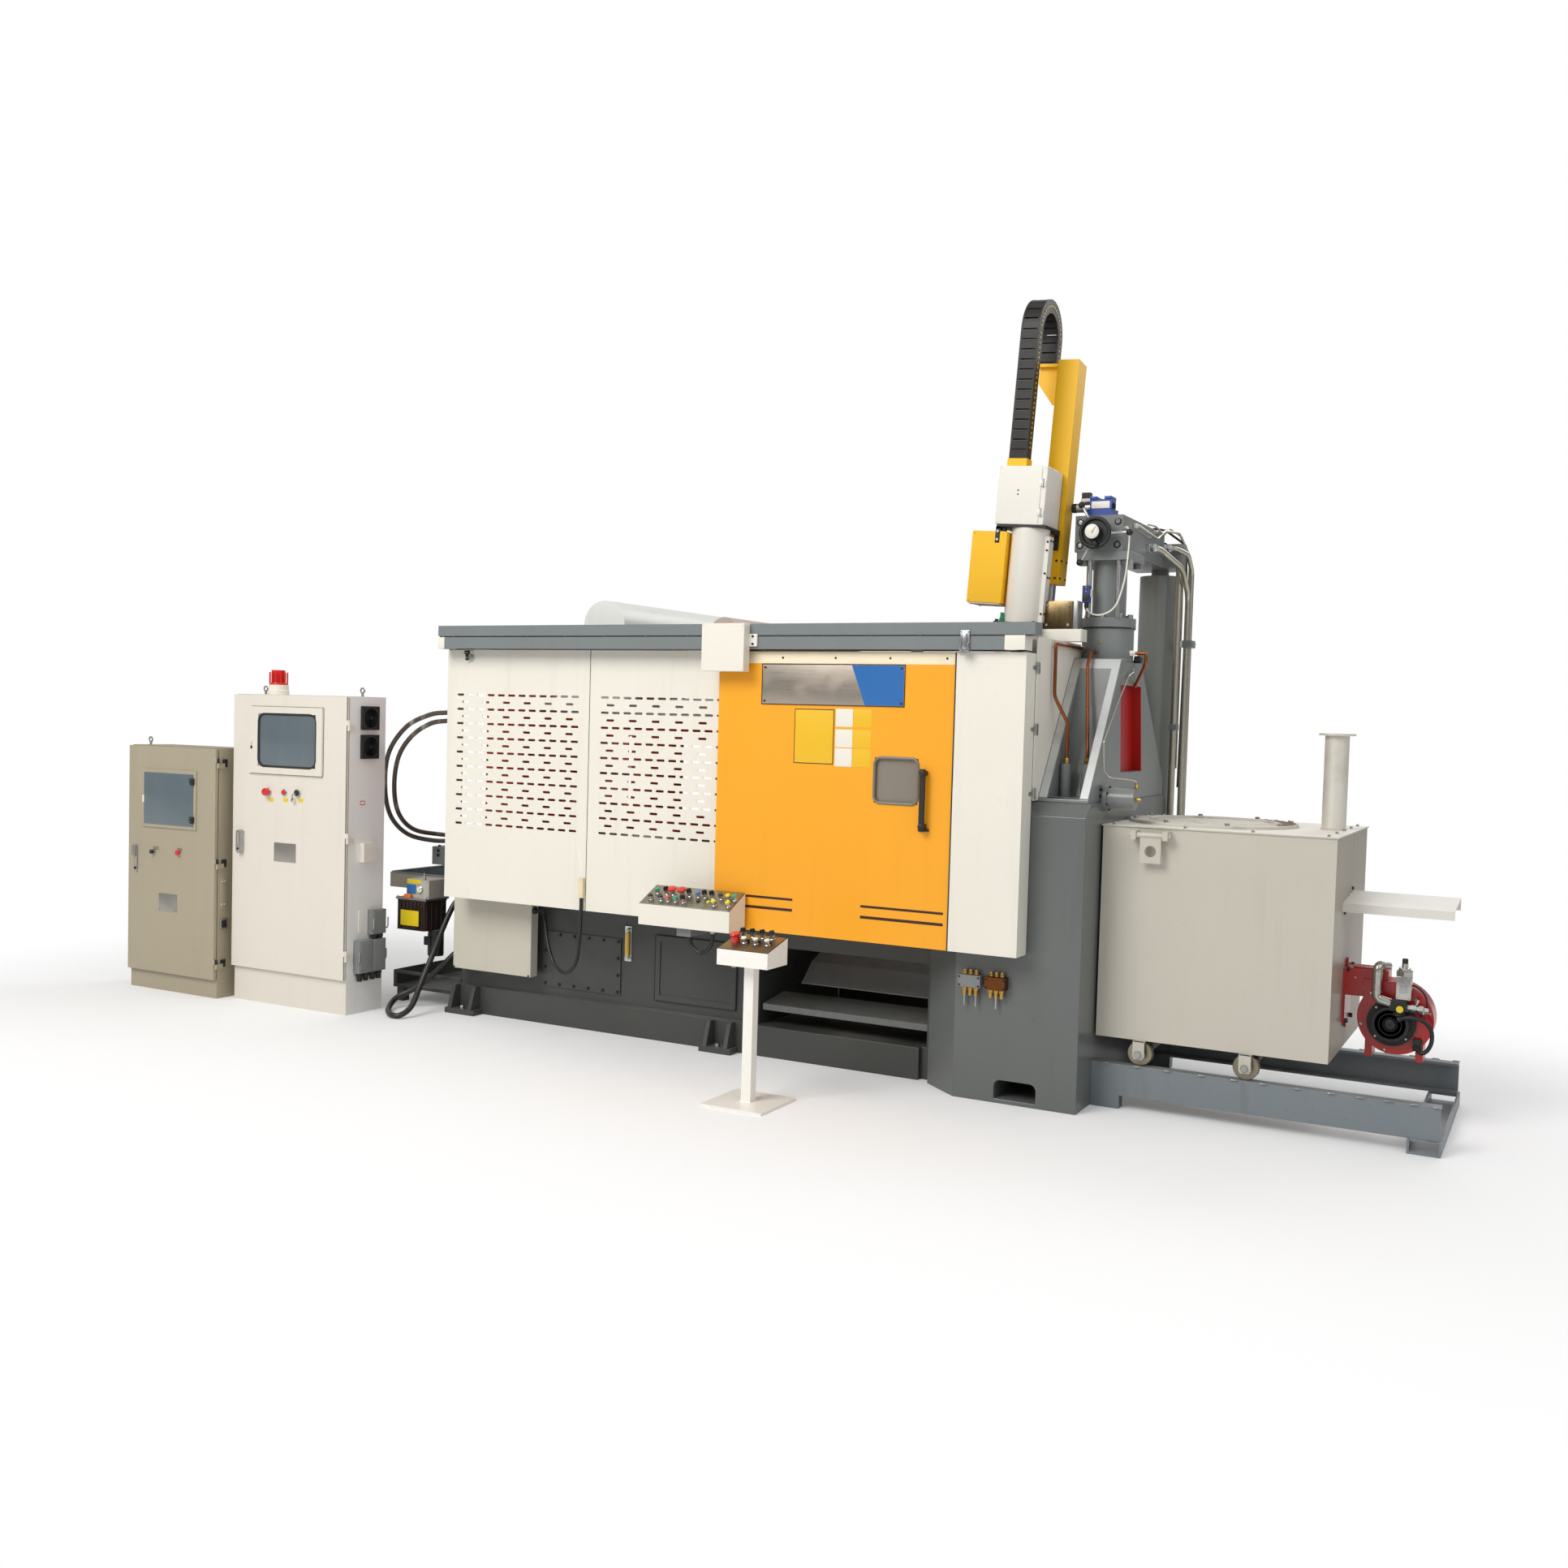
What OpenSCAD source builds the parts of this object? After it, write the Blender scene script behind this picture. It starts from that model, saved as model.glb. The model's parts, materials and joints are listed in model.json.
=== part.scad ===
/* [Base] */
// Length of the machine bed, left of the die pedestal
bed_len = 2889; // [2600:1:3200]
// Half of the bed's width
bed_half = 490; // [460:1:500]
// Height of the bed
bed_h = 800; // [760:1:840]
// Height of the beam along the bed's foot
beam_h = 155; // [120:1:190]
// How far that beam stands proud of the bed's wall
beam_out = 30; // [15:1:40]
// Width of the discharge opening
drop_w = 920; // [760:1:1000]
// Height of the discharge opening
drop_h = 405; // [340:1:440]

/* [Pedestal] */
// Half of the pedestal's length along the machine
ped_half_x = 290; // [285:1:295]
// Half of the pedestal's width across the machine
ped_half_y = 710; // [706:1:712]
// Height of the pedestal's flat top
ped_h = 1365; // [1350:1:1366]
// Width of the fork slot through the pedestal's foot
fork_w = 196; // [150:1:230]
// Height of the fork slot
fork_h = 105; // [80:1:130]

/* [Covers] */
// Distance of the front panels from the machine's middle
panel_y = 780; // [775:1:786]
// Height of the panels' lower edge
panel_z = 685; // [660:1:688]
// Height of the panels' upper edge
panel_top = 2025; // [1980:1:2026]
// Width of one slotted panel
panel_w = 944; // [900:1:950]
// Thickness of the sheet
sheet = 4; // [3:0.5:5]
// Length of one slot
slot_w = 48; // [36:1:52]
// Height of one slot
slot_h = 12; // [8:1:16]
// Depth of the top rail
rail_d = 92; // [86:1:100]

/* [Safety door] */
// Width of the sliding door
door_w = 1218; // [1150:1:1218]
// Thickness of the sliding door
door_t = 30; // [22:1:30]
// Width of the window in the door
window_w = 217; // [160:1:260]
// Height of the window in the door
window_h = 208; // [160:1:260]

/* [Clamping unit] */
// Diameter of a tie bar
bar_d = 110; // [90:1:130]
// Distance of the tie bars from the middle plane
bar_y = 380; // [340:1:400]
// Thickness of a platen
platen_t = 250; // [200:1:270]

/* [Shot unit] */
// Place of the shot cylinder's axis along the machine
shot_x = 150; // [146:1:154]
// Diameter of the shot cylinder's flange
shot_flange_d = 257; // [240:1:258]
// Diameter of the shot cylinder's tube
shot_tube_d = 160; // [140:1:180]
// Diameter of the accumulator
acc_d = 204; // [180:1:205]
// Diameter of the handwheel
hand_d = 154; // [130:1:170]

/* [Robot] */
// Diameter of the robot's column
column_d = 178; // [150:1:186]
// Angle at which the robot leans
robot_lean = 3.7; // [0:0.1:5]
// Height of the top of the chain's loop above the robot's foot
chain_top = 1535; // [1480:1:1560]

/* [Furnace] */
// Length of the furnace along its rails
furnace_w = 1007; // [960:1:1040]
// Distance of the furnace's front wall from the middle plane
furnace_front = 486; // [480:1:488]
// Height of the furnace's top
furnace_top = 1271; // [1240:1:1275]
// Height of the furnace's underside
furnace_floor = 317; // [315:1:330]
// Diameter of a wheel
wheel_d = 110; // [100:1:116]
// Diameter of the flue
flue_d = 105; // [80:1:130]
// Height of the rail beams
rail_beam_h = 141.7; // [130:0.1:141.7]

/* [Control cabinets] */
// Width of the left cabinet
cab1_w = 733; // [600:1:735]
// Height of the left cabinet
cab1_h = 1444; // [1300:1:1500]
// Width of the right cabinet
cab2_w = 871; // [800:1:880]
// Height of the right cabinet
cab2_h = 1760; // [1700:1:1850]
// Depth of both cabinets
cab_d = 300; // [240:1:300]

/* [Hidden] */
$fn = 48;

// Smallest running gap between two pieces that move past each other
run = 5;
// Gap between a pin and its bore, and between a wheel and its rail
fit = 0.3;

// Bed
bed_x1 = -481;
bed_x0 = bed_x1 - bed_len;
drop_x = -975;
drop_z = 150;
wall = 60;
bed_foot_y = bed_half + beam_out;

// Pedestal
ped_bevel = 70;
ped_bevel_h = 60;
ped_neck_y = 551;

// Covers
post = 60;
frame_z = panel_top + 3;
panel_back = panel_y - sheet;
panel_mid_x = -2314;
post_x = [panel_mid_x - panel_w, panel_mid_x - post / 2, panel_mid_x + panel_w - post];
right_post_x = -60;
slot_pitch = 69;
row_pitch = 77;
long_rows = 10;
slots_in_row = 12;
top_row_z = panel_top - 240;
rail_y = panel_back + rail_d + sheet;
rail_z = frame_z + 66;
rail_top = rail_z + 55;
rail_x0 = -3251;
rail_x1 = 85;

// Door and right cover
door_x1 = -292;
door_x0 = door_x1 - door_w;
door_back = 806;
door_top = frame_z - 8;
strip_z = frame_z - 66;
track_top = frame_z + 22;
roller_r = 12;
corner_x1 = 40;
corner_y = 842;
hinge_x = 48;
hinge_y = 716;
hinge_r = 7;
hinge_z = [ped_h + 36, ped_h + 321, panel_top - 68];

// Clamping unit
bar_z = [bed_h + 210, bed_h + 940];
fixed_x0 = -281;
fixed_x1 = 24;
fixed_top = ped_h + 620;
moving_x1 = -1480;
end_x0 = -3200;

// Shot unit
frame_x0 = 44;
frame_x1 = 276;
frame_top = ped_h + 662;
side_plate = 44;
lock_at = [[116, -470], [205, -447]];
lock_floor = ped_h + 20;
lock_top = ped_h + 170;
flange_z = frame_top + 148;
tube_z = flange_z + 47;
manifold_z = tube_z + 308;
manifold_top = manifold_z + 170;
hand_x = 130;
hand_z = manifold_z + 80;
shaft_d = 24;
acc_x = 180;
acc_y = 815;

// Robot
robot_x = -181;
robot_y = -290;
robot_z = fixed_top + 175;
chain_r = 140;
chain_t = 62;
chain_w = 87;
chain_x = -252;
chain_y = -340;
chain_foot = 770;
bracket_z = 1265;
link_pitch = 46;
link_gap = 0.6;
bend_links = 10;
mast_x0 = -177;
mast_x1 = -74;
mast_y0 = -150;
mast_y1 = -30;

// Furnace
furnace_x0 = ped_half_x + run;
furnace_x1 = furnace_x0 + furnace_w;
furnace_back = 477;
wheel_z = wheel_d / 2 + 60 + rail_beam_h + fit;
wheel_x = [500, 960];
wheel_y = 470;
wheel_t = 34;
lug_y = 520;
lug_z = furnace_top - 36;
lug_pipe_d = 24;
axle_d = 40;
rail_x_end = 1746;
beam_w = 60;
burner_y = -60;
burner_z = 479;

// Cabinets
cab1_x1 = -4692;
cab1_x0 = cab1_x1 - cab1_w;
cab1_y = 1094;
cab2_x1 = -3763;
cab2_x0 = cab2_x1 - cab2_w;
cab2_y = 1016;
cab_door_t = 20;
plinth_1 = 108;
plinth_2 = 195;

// Routes of the hoses and cables, chosen by hand
lube_hose_1 = [[-3258, -740, 1685], [-3300, -740, 1685], [-3420, -740, 1670], [-3600, -725, 1600],
    [-3760, -690, 1450], [-3850, -620, 1250], [-3880, -540, 1080], [-3850, -430, 970],
    [-3760, -310, 930], [-3660, -215, 930], [-3600, -215, 930]];
lube_hose_2 = [[-3258, -735, 1640], [-3300, -735, 1640], [-3420, -732, 1622], [-3570, -712, 1550],
    [-3700, -675, 1430], [-3790, -610, 1260], [-3830, -530, 1100], [-3815, -420, 1000],
    [-3750, -270, 965], [-3660, -150, 955], [-3600, -150, 955]];
floor_hose = [[-3370, -468, 640], [-3398, -468, 640], [-3426, -510, 590], [-3446, -575, 460],
    [-3462, -630, 330], [-3472, -710, 180], [-3452, -810, 60], [-3470, -885, 19], [-3540, -880, 17],
    [-3660, -765, 17], [-3690, -670, 60], [-3600, -600, 120], [-3490, -560, 220], [-3426, -500, 310],
    [-3398, -468, 340], [-3370, -468, 340]];
switch_cable = [[-2333, -791, 752], [-2333, -791, 690], [-2350, -775, 540], [-2400, -735, 400],
    [-2490, -700, 332], [-2590, -665, 365], [-2660, -635, 470], [-2705, -605, 585], [-2750, -575, 624],
    [-2800, -575, 624]];
sensor_cable = [[80, -134, 2290], [80, -134, 2268], [110, -165, 2238], [170, -180, 2230],
    [230, -175, 2270], [262, -158, 2380], [272, -145, 2500], [270, -125, 2600],
    [256, -110, 2640], [240, -110, 2640]];

function unit(v) = v / norm(v);

// Direction of a path at each of its points
function path_dirs(p) = [
    for (i = [0 : len(p) - 1])
        unit(i == 0 ? p[1] - p[0]
            : i == len(p) - 1 ? p[i] - p[i - 1]
            : unit(p[i + 1] - p[i]) + unit(p[i] - p[i - 1]))
];

// Side vector at each point, carried along the path without twist
function carried(dirs, v, i = 0) = i == len(dirs) ? []
    : let (w = unit(v - (v * dirs[i]) * dirs[i])) concat([w], carried(dirs, w, i + 1));

// Corners of a path rounded with radius r, three points to a bend
function rounded(p, r) = [
    for (i = [0 : len(p) - 1])
        each (i == 0 || i == len(p) - 1 ? [p[i]]
            : let (a = unit(p[i - 1] - p[i]), b = unit(p[i + 1] - p[i]))
              [p[i] + a * r, p[i] + (a + b) * r * 0.29, p[i] + b * r])
];

// Tube of radius r along the points p
module swept(p, r, sides = 8) {
    dirs = path_dirs(p);
    side = carried(dirs, abs(dirs[0].z) < 0.9 ? [0, 0, 1] : [1, 0, 0]);
    last = len(p) - 1;
    points = [
        for (i = [0 : last], k = [0 : sides - 1])
            p[i] + r * (cos(360 * k / sides) * side[i] + sin(360 * k / sides) * cross(dirs[i], side[i]))
    ];
    walls = [
        for (i = [0 : last - 1], k = [0 : sides - 1])
            let (n = (k + 1) % sides)
            [i * sides + k, (i + 1) * sides + k, (i + 1) * sides + n, i * sides + n]
    ];
    foot = [for (k = [0 : sides - 1]) k];
    head = [for (k = [sides - 1 : -1 : 0]) last * sides + k];
    polyhedron(points, concat(walls, [foot, head]));
}

// Box from one corner to the opposite one
module block(a, b) {
    translate([min(a.x, b.x), min(a.y, b.y), min(a.z, b.z)])
        cube([abs(b.x - a.x), abs(b.y - a.y), abs(b.z - a.z)]);
}

// Plate with a profile in the Y-Z plane, from x0 to x1
module across(x0, x1) {
    translate([x0, 0, 0]) rotate([90, 0, 90]) linear_extrude(x1 - x0) children();
}

// Plate with a profile in the X-Z plane, from y0 to y1
module along(y0, y1) {
    translate([0, y1, 0]) rotate([90, 0, 0]) linear_extrude(y1 - y0) children();
}

// Round bar along X, Y or Z from a point
module rod_x(p, d, l) { translate(p) rotate([0, 90, 0]) cylinder(d = d, h = l); }
module rod_y(p, d, l) { translate(p) rotate([-90, 0, 0]) cylinder(d = d, h = l); }
module rod_z(p, d, l) { translate(p) cylinder(d = d, h = l); }

// The same piece on both sides of the machine's middle plane
module both_sides() { children(); mirror([0, 1, 0]) children(); }

module machine_base() {
    color("#4c4f50")
    difference() {
        union() {
            block([bed_x0, -bed_half, 0], [bed_x1, bed_half, bed_h]);
            both_sides() block([bed_x0, -bed_foot_y, 0], [bed_x1 - 60, -bed_half, beam_h]);
        }
        block([drop_x - drop_w / 2, -bed_half + wall, drop_z], [drop_x + drop_w / 2, bed_half - wall, bed_h + 1]);
        block([drop_x - drop_w / 2, -bed_half - 1, drop_z + 5],
            [drop_x + drop_w / 2, bed_half + 1, drop_z + drop_h]);
    }
}

foot_x = [-3399, -1721];
foot_w = [207, 187];

module base_feet() {
    color("#4c4f50")
    for (i = [0 : 1]) both_sides() {
        block([foot_x[i], -600, 0], [foot_x[i] + foot_w[i], -bed_foot_y, 30]);
        for (x = [foot_x[i] + 20, foot_x[i] + foot_w[i] - 45])
            across(x, x + 25)
                polygon([[-600, 30], [-bed_foot_y, 30], [-bed_foot_y, beam_h], [-560, beam_h]]);
    }
}

module left_frame() {
    color("#4c4f50")
    difference() {
        block([-3875, -500, 80], [bed_x0, 500, 180]);
        block([-3865, -490, 90], [bed_x0 + 1, 490, 181]);
        block([-3850, -501, 100], [bed_x0 - 20, 501, 160]);
    }
    color("#4c4f50")
    for (y = [-490, 440]) block([-3855, y, 0], [-3805, y + 50, 90]);
}

// Bolted tank cover, recessed panel with its frame, and sight gauge
module base_covers() {
    color("#5a5d5e") both_sides() {
        block([-2791, -bed_half - 8, 205], [-2280, -bed_half, 509]);
        difference() {
            block([-2060, -bed_half - 10, 208], [-1567, -bed_half, 550]);
            block([-2030, -bed_half - 11, 238], [-1597, -bed_half - 4, 520]);
        }
    }
    color("#c9ccce") {
        block([-2256, -bed_half - 6, 394], [-2214, -bed_half, 580]);
        rod_y([-2235, -bed_half - 22, 412], 22, 16);
        rod_y([-2235, -bed_half - 22, 562], 22, 16);
        block([-2244, -bed_half - 22, 423], [-2226, -bed_half - 10, 551]);
    }
}

// Bent upper sheet and lower shelf that lead the castings out of the discharge opening
module discharge_chute() {
    x0 = drop_x - drop_w / 2 + 12;
    x1 = drop_x + drop_w / 2 - fit;
    front = 20 - bed_half;
    t = 5;
    color("#8d9294") {
        across(x0 + 133, x1) polygon([[front + 370, drop_z + 340], [front + 270, drop_z + 302],
            [front + 162, drop_z + 207], [front + 162, drop_z + 207 - t], [front + 270, drop_z + 302 - t],
            [front + 370, drop_z + 340 - t]]);
        across(x0, x1) polygon([[front + 220, drop_z + 140], [front, drop_z + 110], [front, drop_z + 78],
            [front + t, drop_z + 78], [front + t, drop_z + 110 - t], [front + 220, drop_z + 140 - t]]);
        across(x1 - t, x1) polygon([[front + 370, drop_z + 338], [front + 270, drop_z + 300],
            [front + 162, drop_z + 205], [front + 60, drop_z + 115], [front + 370, drop_z + 80]]);
    }
}

module die_pedestal() {
    ring = [[bed_x1, -ped_neck_y], [-ped_half_x, -ped_half_y], [-ped_half_x, ped_half_y], [bed_x1, ped_neck_y]];
    color("#6e7476")
    difference() {
        union() {
            linear_extrude(bed_h) polygon(ring);
            across(-ped_half_x, ped_half_x)
                polygon([[-ped_half_y, 0], [ped_half_y, 0], [ped_half_y, ped_h - ped_bevel_h],
                    [ped_half_y - ped_bevel, ped_h], [-ped_half_y + ped_bevel, ped_h],
                    [-ped_half_y, ped_h - ped_bevel_h]]);
        }
        along(-ped_half_y - 1, ped_half_y + 1) {
            translate([6 - fork_w / 2, 20]) square([fork_w, fork_h - 50]);
            translate([36 - fork_w / 2, 20]) square([fork_w - 60, fork_h - 20]);
            for (s = [-1, 1]) translate([6 + s * (fork_w / 2 - 30), fork_h - 30]) circle(30);
        }
    }
}

module valve_blocks() {
    color("#8a8f91") block([-262, -ped_half_y - 50, 518], [-155, -ped_half_y, 573]);
    color("#b5703a") block([-133, -ped_half_y - 50, 518], [-39, -ped_half_y, 573]);
    color("#c8a24a")
    for (x = [-236, -209, -182, -112, -86, -60]) {
        rod_z([x, -ped_half_y - 25, 478], 18, 40);
        rod_z([x, -ped_half_y - 25, 573], 14, 22);
    }
}

cross_x = [post_x[0], -2535, -2315, -2100, -1920, post_x[2], right_post_x];
cross_w = [post, 40, 40, 40, 40, post, post];

// Posts on arms from the bed, with the top frame that carries the rail
module cover_frame() {
    color("#8d9294") {
        both_sides() {
            for (x = post_x) {
                block([x, -panel_back, panel_z + 5], [x + post, -panel_back + post, frame_z]);
                block([x, -panel_back + post, bed_h - 100], [x + post, -bed_half, bed_h - 40]);
            }
            block([right_post_x, -panel_back, panel_z + 5], [right_post_x + post, -ped_half_y, frame_z]);
            block([post_x[0], -panel_back, frame_z], [right_post_x + post, -panel_back + post, frame_z + post]);
        }
        for (i = [0 : len(cross_x) - 1])
            block([cross_x[i], -panel_back + post, frame_z], [cross_x[i] + cross_w[i], panel_back - post, frame_z + post]);
    }
}

// One row of round-ended slots, cut through a sheet at height z
module slot_row(x, z, n) {
    for (i = [0 : n - 1]) translate([x + i * slot_pitch, z]) {
        translate([slot_h / 2, -slot_h / 2]) square([slot_w - slot_h, slot_h]);
        translate([slot_h / 2, 0]) circle(d = slot_h, $fn = 16);
        translate([slot_w - slot_h / 2, 0]) circle(d = slot_h, $fn = 16);
    }
}

// Sheet panel with folded edges and rows of slots, its outer face at y
module slotted_panel(x0, slots) {
    row_x = x0 + (panel_w - (slots_in_row - 1) * slot_pitch - slot_w) / 2;
    along(-panel_y, -panel_back) difference() {
        translate([x0, panel_z]) square([panel_w - 2, panel_top - panel_z]);
        if (slots) for (r = [0 : long_rows - 1]) {
            slot_row(row_x, top_row_z - r * row_pitch, slots_in_row);
            if (r < long_rows - 1) for (k = [0 : slots_in_row / 2 - 1])
                slot_row(row_x + (2 * k + 0.5) * slot_pitch, top_row_z - (r + 0.5) * row_pitch, 1);
        }
    }
}

module left_panel() {
    color("#f4f3ec") slotted_panel(panel_mid_x - panel_w, true);
    color("#f4f3ec") block([-3140, -panel_y - 12, panel_top - 20], [-3085, -panel_y, panel_top - 5]);
    color("#f2e6c4") block([-2346, -panel_y - 20, 752], [-2319, -panel_y, 854]);
}

module middle_panel() {
    color("#f4f3ec") slotted_panel(panel_mid_x + 2, true);
}

module rear_panels() {
    color("#f4f3ec") mirror([0, 1, 0]) {
        slotted_panel(panel_mid_x + 2, false);
        block([panel_mid_x + panel_w + 4, -panel_y, panel_z], [-60 + post, -panel_back, panel_top]);
    }
}

// Fixed sheet between the hinged corner cover and the shot frame
module side_cover() {
    color("#f4f3ec") block([frame_x0 - sheet, -hinge_y + 16, ped_h + 5], [frame_x0, -78, frame_top + 68]);
    color("#3a3a3a") for (z = hinge_z) {
        block([frame_x0, -hinge_y + 9, z - 25], [frame_x0 + 3, -hinge_y + 44, z + 25]);
        for (s = [-25, 9]) {
            rod_z([hinge_x, -hinge_y, z + s], 2 * hinge_r, 16);
            block([frame_x0, -hinge_y, z + s], [frame_x0 + 3, -hinge_y + 10, z + s + 16]);
        }
        rod_z([hinge_x, -hinge_y, z - 25], 4 - 2 * fit, 50);
    }
}

// Lower and upper channel, with the door's track behind the lower one
module top_rail() {
    color("#8d9294") {
        block([rail_x0, -rail_y, rail_z], [rail_x1, -panel_back, rail_top]);
        block([-3210, -rail_y, frame_z], [-5, -rail_y + sheet, rail_z - 6]);
        block([-3210, -rail_y, rail_z - 10], [-5, -panel_back, rail_z - 6]);
        block([-3210, -rail_y + 12, rail_z - 6], [-5, -panel_back, rail_z]);
    }
    color("#c9ccce") block([-2680, -panel_back - 20, track_top - 14], [-10, -panel_back, track_top]);
    color("#f4f3ec") {
        block([-3250, -rail_y, frame_z], [-3210, -panel_back, rail_z - 6]);
        block([-5, -rail_y, frame_z], [corner_x1, -panel_back, rail_z - 2]);
    }
}

module rail_box() {
    color("#f4f3ec") {
        block([-1559, -rail_y - 58, rail_top - 229], [-1325, -rail_y, rail_top - 1]);
        block([-1325, -rail_y - 12, frame_z + 12], [-1281, -rail_y, rail_z + 6]);
    }
}

window_x = -671;
window_z = 1330;

// Sliding door: yellow sheet box, pale strip on top, hangers with rollers
module safety_door() {
    color("#fdb127") difference() {
        block([door_x0, -door_back - door_t, panel_z], [door_x1, -door_back, strip_z]);
        block([window_x, -door_back - door_t - 1, window_z],
            [window_x + window_w, -door_back + 1, window_z + window_h]);
    }
    color("#f4f3ec") block([door_x0, -door_back - door_t, strip_z], [door_x1, -door_back, door_top]);
    for (x = [door_x0 + 200, door_x1 - 200]) {
        color("#8d9294") block([x - 30, -door_back, strip_z - 2], [x + 30, -door_back + 5, track_top + 2 * roller_r + fit]);
        color("#c9ccce") rod_y([x, -door_back + 5, track_top + roller_r + fit], 2 * roller_r, 18);
    }
}

module door_window() {
    color("#9aa0a0") block([window_x, -door_back - 18, window_z],
        [window_x + window_w, -door_back - 12, window_z + window_h]);
}

module door_handle() {
    front = -door_back - door_t;
    color("#2b2b2b") {
        block([-430, front - 42, 1213], [-405, front - 24, 1495]);
        for (z = [1225, 1465]) block([-430, front - 24, z], [-405, front, z + 22]);
        block([-444, front - 14, 1213], [-391, front, 1225]);
    }
}

module right_cover() {
    color("#f4f3ec") {
        block([-285, -corner_y, panel_z], [corner_x1, -corner_y + sheet, panel_top - 5]);
        block([corner_x1 - sheet, -corner_y + sheet, panel_z], [corner_x1, -hinge_y, panel_top - 5]);
        block([-285, -corner_y + sheet, panel_z], [-285 + sheet, -corner_y + 30, panel_top - 5]);
    }
    color("#3a3a3a") for (z = hinge_z) {
        block([corner_x1, -hinge_y - 40, z - 8], [corner_x1 + 3, -hinge_y - 8, z + 8]);
        difference() {
            union() {
                rod_z([hinge_x, -hinge_y, z - 8], 2 * hinge_r, 16);
                block([corner_x1 + 0.5, -hinge_y - 12, z - 8], [hinge_x, -hinge_y - 4, z + 8]);
            }
            rod_z([hinge_x, -hinge_y, z - 9], 4, 18);
        }
    }
}

// Platen with four bores for the tie bars
module platen(x0, t, z0, z1) {
    difference() {
        block([x0, -520, z0], [x0 + t, 520, z1]);
        for (y = [-bar_y, bar_y], z = bar_z) rod_x([x0 - 1, y, z], bar_d, t + 2);
    }
}

module end_platen() {
    color("#c8401e") platen(end_x0, platen_t, bed_h, bar_z[1] + 210);
}

module moving_platen() {
    color("#c8401e") platen(moving_x1 - platen_t, platen_t, bed_h, bar_z[1] + 240);
}

module fixed_platen() {
    color("#6e7476") difference() {
        block([fixed_x0, -560, ped_h], [fixed_x1, 560, fixed_top]);
        for (y = [-bar_y, bar_y]) rod_x([fixed_x0 - 1, y, bar_z[1]], bar_d, 121);
    }
}

module tie_bars() {
    color("#b8bcbe") for (y = [-bar_y, bar_y]) {
        rod_x([end_x0 - 60, y, bar_z[0]], bar_d, -ped_half_x - end_x0 + 60);
        rod_x([end_x0 - 60, y, bar_z[1]], bar_d, fixed_x0 + 120 - end_x0 + 60);
        for (z = bar_z) rod_x([end_x0 - 60, y, z], bar_d + 50, 60);
    }
}

// One toggle link between two pins
module link(a, b, y, t) {
    w = 110;
    d = b - a;
    translate([a.x, y, a.y]) rotate([0, -atan2(d.y, d.x), 0]) rotate([90, 0, 0]) linear_extrude(t) {
        circle(d = w);
        translate([norm(d), 0]) circle(d = w);
        translate([0, -w / 2]) square([norm(d), w]);
    }
}

// Two pairs of bent toggles with the crosshead between them
module toggle_links() {
    left = end_x0 + platen_t;
    right = moving_x1 - platen_t;
    mid = (bar_z[0] + bar_z[1]) / 2;
    knee = -2400;
    color("#c8401e") {
        for (s = [-1, 1]) {
            for (y = [-180, 240]) {
                link([left + 80, mid + s * 240], [knee, mid + s * 300], y, 55);
                link([knee, mid + s * 300], [right - 80, mid + s * 240], y + (y < 0 ? -60 : 60), 55);
                rod_y([knee, y - (y < 0 ? 125 : 65), mid + s * 300], 60, 135);
            }
            block([left, -300, mid + s * 240 - 60], [left + 80, 300, mid + s * 240 + 60]);
            block([right - 80, -300, mid + s * 240 - 60], [right, 300, mid + s * 240 + 60]);
        }
    }
    color("#e0702a") block([knee - 60, -175, bar_z[0] - 10], [knee + 60, 175, bar_z[1] + 280]);
    color("#b8bcbe") rod_x([left, 0, mid], 90, knee - 60 - left);
}

// Half-round sheet hoods across the top
module hood(x, r, top, y0, y1) {
    z = frame_z + post;
    along(y0, y1) difference() {
        union() {
            translate([x, top - r]) circle(r, $fn = 96);
            translate([x - r, z]) square([2 * r, top - r - z]);
        }
        translate([x, top - r]) circle(r - sheet, $fn = 96);
        translate([x - r + sheet, z - 1]) square([2 * (r - sheet), top - r - z + 1]);
        translate([x - r - 1, z - r]) square([2 * r + 2, r]);
    }
    for (y = [y0, y1 - sheet]) along(y, y + sheet) difference() {
        union() {
            translate([x, top - r]) circle(r - 1, $fn = 96);
            translate([x - r + 1, z]) square([2 * r - 2, top - r - z]);
        }
        translate([x - r - 1, z - r]) square([2 * r + 2, r]);
    }
}

module top_hoods() {
    color("#b9b6ab") hood(-2405, 130, 2300, -541, 690);
    color("#c9b3a6") hood(-1990, 90, 2250, 0, 600);
}

// Frame of the leaning robot: its foot is at the origin
module robot_axes() {
    translate([0, 0, robot_z]) rotate([0, robot_lean, 0]) children();
}

module robot_column() {
    color("#f4f3ec") block([-270, -400, fixed_top], [-100, -190, robot_z - 8]);
    color("#e9e2cf") block([-100, -290, robot_z - 61], [111, -210, robot_z - 4]);
    color("#a58a4a") block([-79, -285, robot_z - 4], [59, -215, robot_z + 125]);
    color("#f4f3ec") robot_axes() {
        rod_z([robot_x, robot_y, 12], column_d, 440);
        block([robot_x + 70, robot_y - 30, 20], [robot_x + 105, robot_y + 30, 420]);
    }
    color("#2b2b2b") robot_axes() {
        block([robot_x - 110, robot_y - 95, 0], [robot_x + 95, robot_y + 95, 12]);
        block([robot_x - 140, robot_y - 90, 452], [robot_x + 101, robot_y + 120, 464]);
    }
    color("#f5c51c") robot_axes() block([-437, -380, 95], [robot_x - column_d / 2 + 4, -220, 430]);
}

module robot_box() {
    color("#f4f3ec") robot_axes() block([-331, -380, 464], [-96, -160, 735]);
}

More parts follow.
